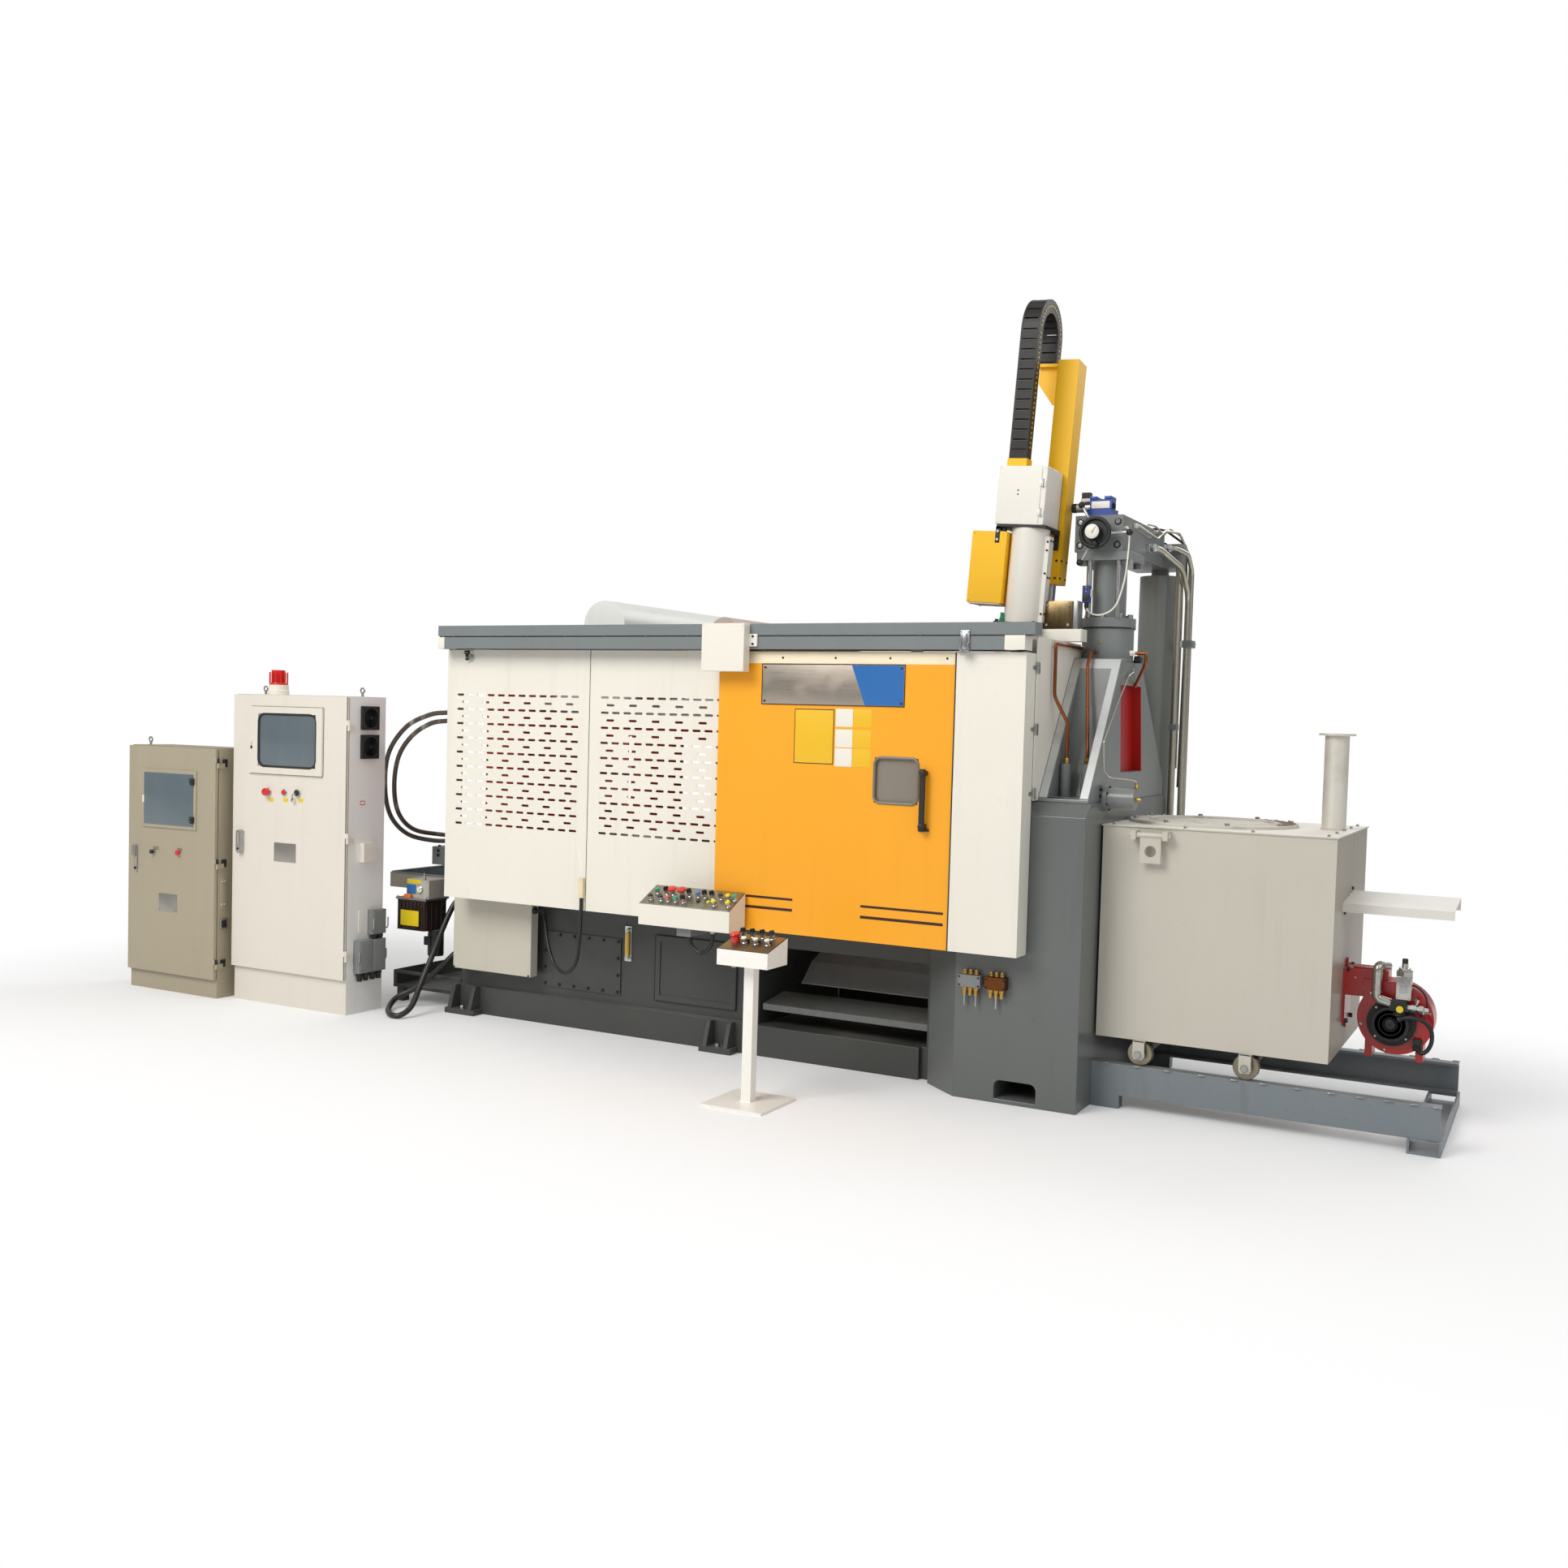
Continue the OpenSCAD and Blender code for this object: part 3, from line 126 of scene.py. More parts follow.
def sum_of(tree, operation, *terms):
    """One Math node: its operation on sockets or plain numbers."""
    node = tree.nodes.new("ShaderNodeMath")
    node.operation = operation
    for place, term in enumerate(terms):
        if hasattr(term, "is_linked"):
            tree.links.new(term, node.inputs[place])
        else:
            node.inputs[place].default_value = term
    return node.outputs[0]


def band(tree, value, low, high):
    """0 below low, 1 above high and a smooth step between."""
    node = tree.nodes.new("ShaderNodeMapRange")
    node.interpolation_type = "SMOOTHSTEP"
    node.inputs["From Min"].default_value = low
    node.inputs["From Max"].default_value = high
    tree.links.new(value, node.inputs["Value"])
    return node.outputs["Result"]


floor_mesh = bpy.data.meshes.new("floor")
floor_mesh.from_pydata([(-40, -30, 0), (40, -30, 0), (40, 60, 0), (-40, 60, 0)], [], [(0, 1, 2, 3)])
studio_floor = bpy.data.objects.new("floor", floor_mesh)
bpy.context.scene.collection.objects.link(studio_floor)
floor_paint = bpy.data.materials.new("floor")
floor_paint.use_nodes = True
floor_tree = floor_paint.node_tree
floor_face = floor_tree.nodes["Principled BSDF"]
floor_face.inputs["Base Color"].default_value = (0.84, 0.84, 0.85, 1)
floor_face.inputs["Roughness"].default_value = 0.85
floor_face.inputs["Specular IOR Level"].default_value = 0.1
floor_face.inputs["Emission Color"].default_value = (1, 1, 1, 1)
floor_rays = floor_tree.nodes.new("ShaderNodeLightPath")
floor_seen = sum_of(floor_tree, "MAXIMUM", floor_rays.outputs["Is Camera Ray"],
                    floor_rays.outputs["Is Transmission Ray"])
floor_tree.links.new(sum_of(floor_tree, "MULTIPLY", floor_seen, 0.12), floor_face.inputs["Emission Strength"])
# Further off than two metres from the machine's rectangle the floor is seen as plain white.
floor_spot = floor_tree.nodes.new("ShaderNodeTexCoord")
floor_axes = floor_tree.nodes.new("ShaderNodeSeparateXYZ")
floor_tree.links.new(floor_spot.outputs["Object"], floor_axes.inputs[0])
beyond = [sum_of(floor_tree, "MAXIMUM", 0.0, sum_of(floor_tree, "SUBTRACT", sum_of(
    floor_tree, "ABSOLUTE", sum_of(floor_tree, "ADD", floor_axes.outputs[axis], shift)), half))
    for axis, shift, half in (("X", 1.8, 3.5), ("Y", 0.3, 1.1))]
away = sum_of(floor_tree, "SQRT", sum_of(floor_tree, "MULTIPLY_ADD", beyond[0], beyond[0],
                                         sum_of(floor_tree, "MULTIPLY", beyond[1], beyond[1])))
open_floor = sum_of(floor_tree, "MULTIPLY", floor_seen, band(floor_tree, away, 0.05, 2.0))
floor_white = floor_tree.nodes.new("ShaderNodeEmission")
floor_mix = floor_tree.nodes.new("ShaderNodeMixShader")
floor_tree.links.new(open_floor, floor_mix.inputs["Fac"])
floor_tree.links.new(floor_face.outputs[0], floor_mix.inputs[1])
floor_tree.links.new(floor_white.outputs[0], floor_mix.inputs[2])
floor_tree.links.new(floor_mix.outputs[0], floor_tree.nodes["Material Output"].inputs["Surface"])
floor_mesh.materials.append(floor_paint)

# Finishes that several pieces share: enamel and powder coat over sheet or castings, and
# bare metal with the marks of drawing and turning.


def effect(name, inputs, outputs):
    """Shader node group with named sockets; gives the tree, its inputs and its output node."""
    tree = bpy.data.node_groups.new(name, "ShaderNodeTree")
    for label, kind, value in inputs:
        tree.interface.new_socket(label, in_out="INPUT", socket_type="NodeSocket" + kind).default_value = value
    for label, kind in outputs:
        tree.interface.new_socket(label, in_out="OUTPUT", socket_type="NodeSocket" + kind)
    return tree, tree.nodes.new("NodeGroupInput").outputs, tree.nodes.new("NodeGroupOutput").inputs


def noise(tree, stretch, scale, detail):
    """Noise on the row's own coordinates, stretched by three factors; its value is 0 to 1 about 0.5."""
    place = tree.nodes.new("ShaderNodeTexCoord")
    turn = tree.nodes.new("ShaderNodeMapping")
    turn.inputs["Scale"].default_value = stretch
    cloud = tree.nodes.new("ShaderNodeTexNoise")
    cloud.inputs["Scale"].default_value = scale
    cloud.inputs["Detail"].default_value = detail
    tree.links.new(place.outputs["Object"], turn.inputs["Vector"])
    tree.links.new(turn.outputs["Vector"], cloud.inputs["Vector"])
    return cloud.outputs["Fac"]


def blend_of(tree, share, first, second):
    """Mixes two colours by a share from 0 to 1; each is a socket or a plain colour."""
    node = tree.nodes.new("ShaderNodeMix")
    node.data_type = "RGBA"
    for socket, term in ((node.inputs[0], share), (node.inputs[6], first), (node.inputs[7], second)):
        if hasattr(term, "is_linked"):
            tree.links.new(term, socket)
        else:
            socket.default_value = term
    return node.outputs[2]


# Sprayed coat: slow mottling, faint vertical run-off stains, dust on what faces up,
# grime towards the floor and a fine orange peel.
coat_tree, coat_in, coat_out = effect(
    "sprayed_coat",
    [("Colour", "Color", (0.5, 0.5, 0.5, 1)), ("Mottle", "Float", 0.05), ("Stains", "Float", 0.1),
     ("Stain Colour", "Color", (0.16, 0.13, 0.1, 1)), ("Dust", "Float", 0.15), ("Roughness", "Float", 0.4),
     ("Grain", "Float", 160.0)],
    [("Colour", "Color"), ("Roughness", "Float"), ("Height", "Float")])
slow = noise(coat_tree, (1, 1, 1), 2.3, 5)
level = sum_of(coat_tree, "MULTIPLY_ADD", sum_of(coat_tree, "SUBTRACT", slow, 0.5), coat_in["Mottle"], 1.0)
shade = coat_tree.nodes.new("ShaderNodeVectorMath")
shade.operation = "SCALE"
coat_tree.links.new(coat_in["Colour"], shade.inputs[0])
coat_tree.links.new(level, shade.inputs["Scale"])
runs = band(coat_tree, noise(coat_tree, (7, 7, 0.7), 2.0, 7), 0.52, 0.78)
specks = band(coat_tree, noise(coat_tree, (1, 1, 1), 26, 6), 0.62, 0.8)
dirty = sum_of(coat_tree, "MULTIPLY", sum_of(coat_tree, "MAXIMUM", runs, specks), coat_in["Stains"])
stained = blend_of(coat_tree, dirty, shade.outputs[0], coat_in["Stain Colour"])
spot = coat_tree.nodes.new("ShaderNodeTexCoord")
height_of = coat_tree.nodes.new("ShaderNodeSeparateXYZ")
coat_tree.links.new(spot.outputs["Object"], height_of.inputs[0])
low = sum_of(coat_tree, "SUBTRACT", 1.0, band(coat_tree, height_of.outputs["Z"], 0.0, 0.35))
grime = sum_of(coat_tree, "MULTIPLY", sum_of(coat_tree, "MULTIPLY", low, slow), coat_in["Stains"])
soiled = blend_of(coat_tree, grime, stained, (0.12, 0.11, 0.1, 1))
facing = coat_tree.nodes.new("ShaderNodeNewGeometry")
up = coat_tree.nodes.new("ShaderNodeSeparateXYZ")
coat_tree.links.new(facing.outputs["Normal"], up.inputs[0])
lying = sum_of(coat_tree, "MULTIPLY", band(coat_tree, up.outputs["Z"], 0.6, 0.95),
               sum_of(coat_tree, "MULTIPLY", coat_in["Dust"], band(coat_tree, slow, 0.3, 0.7)))
dusted = blend_of(coat_tree, lying, soiled, (0.5, 0.47, 0.42, 1))
coat_tree.links.new(dusted, coat_out["Colour"])
rubbed = sum_of(coat_tree, "MULTIPLY_ADD", sum_of(coat_tree, "SUBTRACT", slow, 0.5), 0.25, coat_in["Roughness"])
coat_tree.links.new(sum_of(coat_tree, "ADD", rubbed, sum_of(coat_tree, "MULTIPLY", lying, 0.4)),
                    coat_out["Roughness"])
peel = coat_tree.nodes.new("ShaderNodeTexNoise")
peel.inputs["Detail"].default_value = 2
coat_tree.links.new(spot.outputs["Object"], peel.inputs["Vector"])
coat_tree.links.new(coat_in["Grain"], peel.inputs["Scale"])
coat_tree.links.new(peel.outputs["Fac"], coat_out["Height"])

# Bare metal: fine lines along one direction, and a slow change of shine.
mark_tree, mark_in, mark_out = effect(
    "drawn_marks",
    [("Colour", "Color", (0.5, 0.5, 0.5, 1)), ("Roughness", "Float", 0.3), ("Stretch", "Vector", (60, 60, 1)),
     ("Tarnish", "Float", 0.15), ("Tarnish Colour", "Color", (0.2, 0.16, 0.12, 1))],
    [("Colour", "Color"), ("Roughness", "Float"), ("Height", "Float")])
mark_spot = mark_tree.nodes.new("ShaderNodeTexCoord")
mark_scale = mark_tree.nodes.new("ShaderNodeVectorMath")
mark_scale.operation = "MULTIPLY"
mark_lines = mark_tree.nodes.new("ShaderNodeTexNoise")
mark_lines.inputs["Scale"].default_value = 9
mark_lines.inputs["Detail"].default_value = 5
mark_tree.links.new(mark_spot.outputs["Object"], mark_scale.inputs[0])
mark_tree.links.new(mark_in["Stretch"], mark_scale.inputs[1])
mark_tree.links.new(mark_scale.outputs[0], mark_lines.inputs["Vector"])
dull = band(mark_tree, noise(mark_tree, (1, 1, 1), 7, 6), 0.45, 0.75)
mark_tree.links.new(blend_of(mark_tree, sum_of(mark_tree, "MULTIPLY", dull, mark_in["Tarnish"]),
                             mark_in["Colour"], mark_in["Tarnish Colour"]), mark_out["Colour"])
lined = sum_of(mark_tree, "MULTIPLY_ADD", sum_of(mark_tree, "SUBTRACT", mark_lines.outputs["Fac"], 0.5), 0.22,
               mark_in["Roughness"])
mark_tree.links.new(sum_of(mark_tree, "ADD", lined, sum_of(mark_tree, "MULTIPLY", dull, 0.12)),
                    mark_out["Roughness"])
mark_tree.links.new(mark_lines.outputs["Fac"], mark_out["Height"])


def linear(colour):
    """A colour written as six hex digits, as linear light: each part c becomes ((c + 0.055) / 1.055) ** 2.4."""
    parts = np.array([int(colour[i:i + 2], 16) / 255 for i in (0, 2, 4)])
    lit = np.where(parts <= 0.04045, parts / 12.92, ((parts + 0.055) / 1.055) ** 2.4)
    return (*lit.tolist(), 1.0)


def finish(name, tree, sockets, bump, distance, metallic=0.0, coat=0.0, **plain):
    """Material: one effect group feeds colour, roughness and a bump's height; the rest are plain numbers."""
    material = bpy.data.materials.new(name)
    material.use_nodes = True
    nodes, links = material.node_tree.nodes, material.node_tree.links
    face = nodes["Principled BSDF"]
    skin = nodes.new("ShaderNodeGroup")
    skin.node_tree = tree
    for label, value in sockets.items():
        skin.inputs[label].default_value = value
    relief = nodes.new("ShaderNodeBump")
    relief.inputs["Strength"].default_value = bump
    relief.inputs["Distance"].default_value = distance
    links.new(skin.outputs["Colour"], face.inputs["Base Color"])
    links.new(skin.outputs["Roughness"], face.inputs["Roughness"])
    links.new(skin.outputs["Height"], relief.inputs["Height"])
    links.new(relief.outputs["Normal"], face.inputs["Normal"])
    face.inputs["Metallic"].default_value = metallic
    face.inputs["Coat Weight"].default_value = coat
    face.inputs["Coat Roughness"].default_value = 0.18
    for label, value in plain.items():
        face.inputs[label.replace("_", " ")].default_value = value
    return material


def enamel(name, colour, rough=0.38, mottle=0.08, stains=0.1, dust=0.15, grain=160.0, bump=0.08, coat=0.15,
           stain_colour="4a4036"):
    """Paint or powder coat of that colour."""
    return finish(name, coat_tree, {"Colour": linear(colour), "Mottle": mottle, "Stains": stains, "Dust": dust,
                                    "Roughness": rough, "Grain": grain, "Stain Colour": linear(stain_colour)},
                  bump, 0.002, coat=coat)


def bare(name, colour, rough=0.28, stretch=(60, 60, 1), tarnish=0.15, tarnish_colour="6b5a48", bump=0.05):
    """Uncoated metal of that colour, with marks long in the direction whose stretch is least."""
    return finish(name, mark_tree, {"Colour": linear(colour), "Roughness": rough, "Stretch": stretch,
                                    "Tarnish": tarnish, "Tarnish Colour": linear(tarnish_colour)},
                  bump, 0.001, metallic=1.0)


dark_grey = enamel("dark_grey_enamel", "424442", 0.42, 0.14, 0.22, 0.25)
mid_grey = enamel("mid_grey_enamel", "656968", 0.34, 0.12, 0.12, 0.15, coat=0.3)
light_grey = enamel("light_grey_enamel", "868988", 0.36, 0.08, 0.08, 0.15)
warm_white = enamel("warm_white_powder_coat", "EFEBDF", 0.42, 0.05, 0.05, 0.06, 420.0, 0.12)
black_moulded = enamel("black_moulding", "232323", 0.5, 0.1, 0.0, 0.1, 500.0, 0.1, 0.0)
bright_steel = bare("bright_steel", "C9CBCC", 0.2)
zinc_plate = bare("zinc_plate", "B9BABA", 0.34, (30, 30, 30), 0.25)
brass = bare("brass_fitting", "C8A455", 0.3, (30, 30, 30), 0.3)

# Every solid of the frame keeps its shape and size here: a copy of it is merged, its
# edges are broken as on the real castings and folded sheets, and it is painted.


slots = {part["node"]: part["material_slot"] for part in frame["record"]["subparts"]}


ROBOT_LEAN, ROBOT_FOOT = math.radians(3.7), 2160
LEAN_COS, LEAN_SIN = math.cos(ROBOT_LEAN), math.sin(ROBOT_LEAN)


def leaning(points):
    """Points of the leaning robot turned upright: shifted to its foot, then turned back by its lean about Y."""
    x, y, z = points[:, 0], points[:, 1], points[:, 2] - ROBOT_FOOT
    return np.stack([x * LEAN_COS - z * LEAN_SIN, y, x * LEAN_SIN + z * LEAN_COS], 1)


# Vertices nearer than the first are one, faces flatter than the second are merged, edges
# sharper than the third are creases and those sharper than the fourth are broken; a zone
# reaches a little past its box.
MERGE_REACH, FLAT_ANGLE = 2e-5, math.radians(0.6)
CREASE_ANGLE, BREAK_ANGLE = math.radians(32), math.radians(33)
ZONE_SLACK = 0.6


def dress(node, paint, edge=1.5, zones=(), turn=None, steps=2, cut=False):
    """Copy of a CAD node with broken edges. A face takes the paint of the last zone whose box, in mm, holds
    its middle. With cut, faces that run round an opening are split into convex ones."""
    source = frame["nodes"][node]
    mesh = source.data.copy()
    mesh.materials.clear()
    work = bmesh.new()
    work.from_mesh(mesh)
    bmesh.ops.remove_doubles(work, verts=work.verts, dist=MERGE_REACH)
    bmesh.ops.dissolve_limit(work, angle_limit=FLAT_ANGLE, verts=work.verts, edges=work.edges)
    if cut:
        bmesh.ops.connect_verts_concave(work, faces=work.faces)
    work.to_mesh(mesh)
    work.free()
    mesh.materials.append(paint)
    middles = np.zeros(len(mesh.polygons) * 3)
    mesh.polygons.foreach_get("center", middles)
    middles = middles.reshape(-1, 3) * 1000
    if turn:
        middles = turn(middles)
    choice = np.zeros(len(mesh.polygons), np.int32)
    for place, (low_corner, high_corner, other) in enumerate(zones):
        past_low = middles >= np.array(low_corner) - ZONE_SLACK
        short_of_high = middles <= np.array(high_corner) + ZONE_SLACK
        inside = np.all(past_low & short_of_high, 1)
        choice[inside] = place + 1
        mesh.materials.append(other)
    mesh.polygons.foreach_set("material_index", choice)
    mesh.shade_smooth()
    mesh.set_sharp_from_angle(angle=CREASE_ANGLE)
    piece = bpy.data.objects.new("dressed_" + node, mesh)
    bpy.context.scene.collection.objects.link(piece)
    if edge:
        rounding = piece.modifiers.new("broken_edges", "BEVEL")
        rounding.width, rounding.segments = edge / 1000, steps
        rounding.limit_method, rounding.angle_limit = "ANGLE", BREAK_ANGLE
        rounding.miter_outer = "MITER_ARC"
        even = piece.modifiers.new("even_normals", "WEIGHTED_NORMAL")
        even.keep_sharp = True
    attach(piece, source["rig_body"])
    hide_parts(node)
    return piece


# Bolts, plates and tubes are surfaces over a grid: rows along the piece, columns round it.


def wall(points, ends=True, rings=False):
    """Surface through points[i, j] in mm: j runs round and meets itself, i runs along, and flat faces close
    the ends."""
    rows, count = points.shape[:2]
    index = np.arange(rows * count).reshape(rows, count)
    index = np.hstack([index, index[:, :1]])
    if rings:
        index = np.vstack([index, index[:1]])
    quads = np.stack([index[:-1, :-1], index[:-1, 1:], index[1:, 1:], index[1:, :-1]], -1)
    faces = quads.reshape(-1, 4).tolist()
    if ends and not rings:
        faces += [index[0, :count][::-1].tolist(), index[rows - 1, :count].tolist()]
    return points.reshape(-1, 3), faces


def turned(profile, start, axis, sides=24, phase=0.0):
    """Turned piece: start + height * axis + radius * (cos t * u + sin t * v), for each (radius, height) of its
    profile."""
    along = np.array(axis, float) / np.linalg.norm(axis)
    u = np.cross(along, [0.0, 0.0, 1.0] if abs(along[2]) < 0.9 else [1.0, 0.0, 0.0])
    u /= np.linalg.norm(u)
    v = np.cross(along, u)
    t = phase + np.arange(sides) * 2 * math.pi / sides
    radius, height = np.array(profile, float).T
    ring = np.cos(t)[:, None] * u + np.sin(t)[:, None] * v
    return wall(np.array(start, float) + height[:, None, None] * along + radius[:, None, None] * ring)


def pad(low, high, axis=1, corner=6.0, edge=1.5, steps=4):
    """Rounded plate that fills the box low to high: a rounded rectangle, drawn in by edge * (1 - cos a) near
    both faces while its height grows by edge * sin a."""
    low, high = np.minimum(low, high).astype(float), np.maximum(low, high).astype(float)
    flat = [k for k in range(3) if k != axis]
    half = (high - low)[flat] / 2
    corner = min(corner, half.min() - 0.01)
    edge = min(edge, corner, (high - low)[axis] / 2)
    turn = np.linspace(0, math.pi / 2, steps + 1)
    angles = np.concatenate([turn + k * math.pi / 2 for k in range(4)])
    signs = np.repeat([[1, 1], [-1, 1], [-1, -1], [1, -1]], steps + 1, 0)
    bow = np.linspace(math.pi / 2, 0, 4)
    inset = np.concatenate([edge * (1 - np.cos(bow)), edge * (1 - np.cos(bow[::-1]))])
    rise = np.concatenate([edge * (1 - np.sin(bow)), (high - low)[axis] - edge * (1 - np.sin(bow[::-1]))])
    reach = (half - corner) * signs + corner * np.stack([np.cos(angles), np.sin(angles)], 1)
    outward = np.stack([np.cos(angles), np.sin(angles)], 1)
    points = np.zeros((len(inset), len(angles), 3))
    points[:, :, flat] = (low + high)[flat] / 2 + reach[None] - inset[:, None, None] * outward[None]
    points[:, :, axis] = low[axis] + rise[:, None]
    return wall(points)


def smooth(points, count):
    """Catmull-Rom curve through the points: each stretch is half of
    (2b + (c-a)s + (2a-5b+4c-d)s^2 + (3b-a-3c+d)s^3)."""
    p = np.array(points, float)
    p = np.vstack([2 * p[0] - p[1], p, 2 * p[-1] - p[-2]])
    where = np.linspace(0, len(p) - 3 - 1e-9, count)
    k = where.astype(int)
    s = (where - k)[:, None]
    a, b, c, d = p[k], p[k + 1], p[k + 2], p[k + 3]
    return 0.5 * (2 * b + (c - a) * s + (2 * a - 5 * b + 4 * c - d) * s ** 2 + (3 * b - a - 3 * c + d) * s ** 3)


def tube(path, radius, sides=12, closed=False):
    """Round tube: path(i) + radius(i) * (cos t * u + sin t * v), where u turns no more than the path does."""
    path = np.array(path, float)
    ahead = np.roll(path, -1, 0) - np.roll(path, 1, 0) if closed else np.gradient(path, axis=0)
    ahead /= np.linalg.norm(ahead, axis=1)[:, None]
    side = np.cross(ahead[0], [0.0, 0.0, 1.0] if abs(ahead[0][2]) < 0.9 else [1.0, 0.0, 0.0])
    sides_u = np.zeros_like(path)
    for i, d in enumerate(ahead):
        side = side - side.dot(d) * d
        side /= np.linalg.norm(side)
        sides_u[i] = side
    across = np.cross(ahead, sides_u)
    t = np.arange(sides) * 2 * math.pi / sides
    radius = np.broadcast_to(radius, len(path))[:, None, None]
    cos_t, sin_t = np.cos(t)[None, :, None], np.sin(t)[None, :, None]
    points = path[:, None] + radius * (cos_t * sides_u[:, None] + sin_t * across[:, None])
    return wall(points, rings=closed)


def bar(outline, low, high, axis):
    """Straight bar: a flat outline of (first, second) corners, drawn out along an axis from low to high."""
    outline = np.array(outline, float)
    points = np.zeros((2, len(outline), 3))
    points[:, :, [k for k in range(3) if k != axis]] = outline
    points[:, :, axis] = [[low], [high]]
    return wall(points)


def copies(shape, places):
    """The same shape moved to each place: the shape's points plus the place, in one array."""
    points, faces = shape
    places = np.array(places, float).reshape(-1, 3)
    moved = (points[None] + places[:, None]).reshape(-1, 3)
    return moved, [[v + k * len(points) for v in face] for k in range(len(places)) for face in faces]


def build(name, body, *made, slot=None, edge=0.0, angle=35):
    """One piece from (shape, paint) pairs; a shape is (points in mm, faces)."""
    points, faces, paints, choice = [], [], [], []
    start = 0
    for (spots, sides), paint in made:
        if paint not in paints:
            paints.append(paint)
        points.append(spots)
        faces += [[v + start for v in face] for face in sides]
        choice += [paints.index(paint)] * len(sides)
        start += len(spots)
    mesh = bpy.data.meshes.new(name)
    mesh.from_pydata((np.concatenate(points) / 1000).tolist(), [], faces)
    work = bmesh.new()
    work.from_mesh(mesh)
    bmesh.ops.recalc_face_normals(work, faces=work.faces)
    work.to_mesh(mesh)
    work.free()
    for paint in paints:
        mesh.materials.append(paint)
    mesh.polygons.foreach_set("material_index", choice)
    mesh.shade_smooth()
    mesh.set_sharp_from_angle(angle=math.radians(angle))
    piece = bpy.data.objects.new(name, mesh)
    bpy.context.scene.collection.objects.link(piece)
    if edge:
        rounding = piece.modifiers.new("broken_edges", "BEVEL")
        rounding.width, rounding.segments = edge / 1000, 2
        rounding.limit_method, rounding.angle_limit = "ANGLE", math.radians(angle)
        rounding.harden_normals = True
    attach(piece, body)
    return piece


def hex_head(axis, size=16.0, height=8.0):
    """Chamfered hexagon head on a washer, at the origin."""
    return turned([(size * 0.56, 0), (size * 0.56, height), (size * 0.48, height * 1.2)], (0, 0, 0), axis, 6)


def cap_screw(axis, size=14.0, height=10.0):
    """Round head with a sunk socket, at the origin."""
    return turned([(size / 2, 0), (size / 2, height * 0.9), (size * 0.44, height), (size * 0.27, height),
                   (size * 0.25, height * 0.45)], (0, 0, 0), axis, 14)


def screws(axis, size, height, places):
    """The same cap screw at each place."""
    return copies(cap_screw(axis, size, height), places)


def spread(first, last, count):
    """Places at equal steps from the first to the last."""
    return np.array(first, float) + np.linspace(0, 1, count)[:, None] * (np.array(last, float) - np.array(first,
            float))


def around(centre, radius, first, count, axis):
    """Places at equal angles on a circle across an axis, from the first angle on, in degrees."""
    angles = np.radians(first + np.arange(count) * 360 / count)
    places = np.tile(np.array(centre, float), (count, 1))
    places[:, [k for k in range(3) if k != axis]] += radius * np.stack([np.cos(angles), np.sin(angles)], 1)
    return places


def frame_of(low_u, high_u, low_v, high_v, count_u, count_v, y):
    """Places round a rectangle in the plane y, corners included, for the screws of a cover."""
    a, b, c, d = (low_u, y, low_v), (high_u, y, low_v), (high_u, y, high_v), (low_u, y, high_v)
    return np.vstack([spread(a, b, count_u), spread(d, c, count_u), spread(a, d, count_v)[1:-1],
                      spread(b, c, count_v)[1:-1]])


FRONT = (0, -1, 0)
UP = (0, 0, 1)

# Machine bed: a welded steel box on a foot beam, enamelled dark grey, with gusseted feet
# bolted to the floor and a light channel frame for the electrical gear at its left end.
dress("machine_base", dark_grey, 4)
dress("base_feet", dark_grey, 2)
dress("left_frame", dark_grey, 2)
screw_black = enamel("blackened_screw", "1E1F20", 0.4, 0.1, 0.1, 0.1)
build("foot_bolts", "machine",
      (copies(hex_head(UP, 26, 14), [(x, y, 30) for x in (-3296, -1628) for y in (-572, 572)]), zinc_plate))
# A weld bead runs along the joint of bed and foot beam.
bead_x = np.linspace(-3360, -1470, 260)
build("bed_weld", "machine",
      *[(tube(np.stack([bead_x, np.full(260, s * 491.0), 155.5 + np.sin(bead_x * 0.31) * 0.8], 1),
              4.5 + np.sin(bead_x * 0.45) * 0.7, 6), dark_grey) for s in (-1, 1)])

# Covers on the bed's walls: a bolted tank cover, a door flush in its dark gap and an oil
# gauge with a yellow tube between chromed ends.
gauge_yellow = enamel("gauge_tube", "DDB62E", 0.15, 0.1, 0.0, 0.0, coat=0.6)
dress("base_covers", dark_grey, 1.5,
      [((-2270, -560, 380), (-2200, -480, 600), bright_steel), ((-2246, -520, 423), (-2224, -499, 551),
              gauge_yellow)])
for side, name in ((-1, "front"), (1, "rear")):
    out = (0, side, 0)
    build("tank_cover_screws_" + name, "machine",
          (copies(hex_head(out, 15, 7), frame_of(-2775, -2296, 222, 492, 6, 4, side * 498)), screw_black))
    near, far = side * 499.6, side * 501.4
    build("bed_door_gap_" + name, "machine",
          *[(pad((x0, near, z0), (x1, far, z1), corner=1, edge=0.5), screw_black)
            for x0, x1, z0, z1 in ((-2062, -1565, 548, 552), (-2062, -1565, 206, 210),
                                   (-2062, -2058, 206, 552), (-1569, -1565, 206, 552))])
build("gauge_screws", "machine", (screws(FRONT, 12, 5, [(-2235, -512, 412), (-2235, -512, 562)]), bright_steel))

# Two sheets lead the castings out of the opening: plain bent steel, scuffed.
chute_sheet = enamel("chute_sheet", "6F7473", 0.3, 0.16, 0.3, 0.15, coat=0.3)
# A near black sheet closes the drop's rear: painted shade where the opening's inside lies in shadow.
shade_black_sheet = enamel("drop_inside_shade", "1F1B18", 0.6, 0.2, 0.2, 0.1)
dress("discharge_chute", chute_sheet, 1)
build("drop_rear_shade_sheet", "machine",
      (pad((-1433, 424, 156), (-517, 428, 553), corner=3, edge=1), shade_black_sheet),
      (bar([(-200, 228), (-200, 196), (-196, 196), (-196, 228)], -1430, -520, 0), chute_sheet))

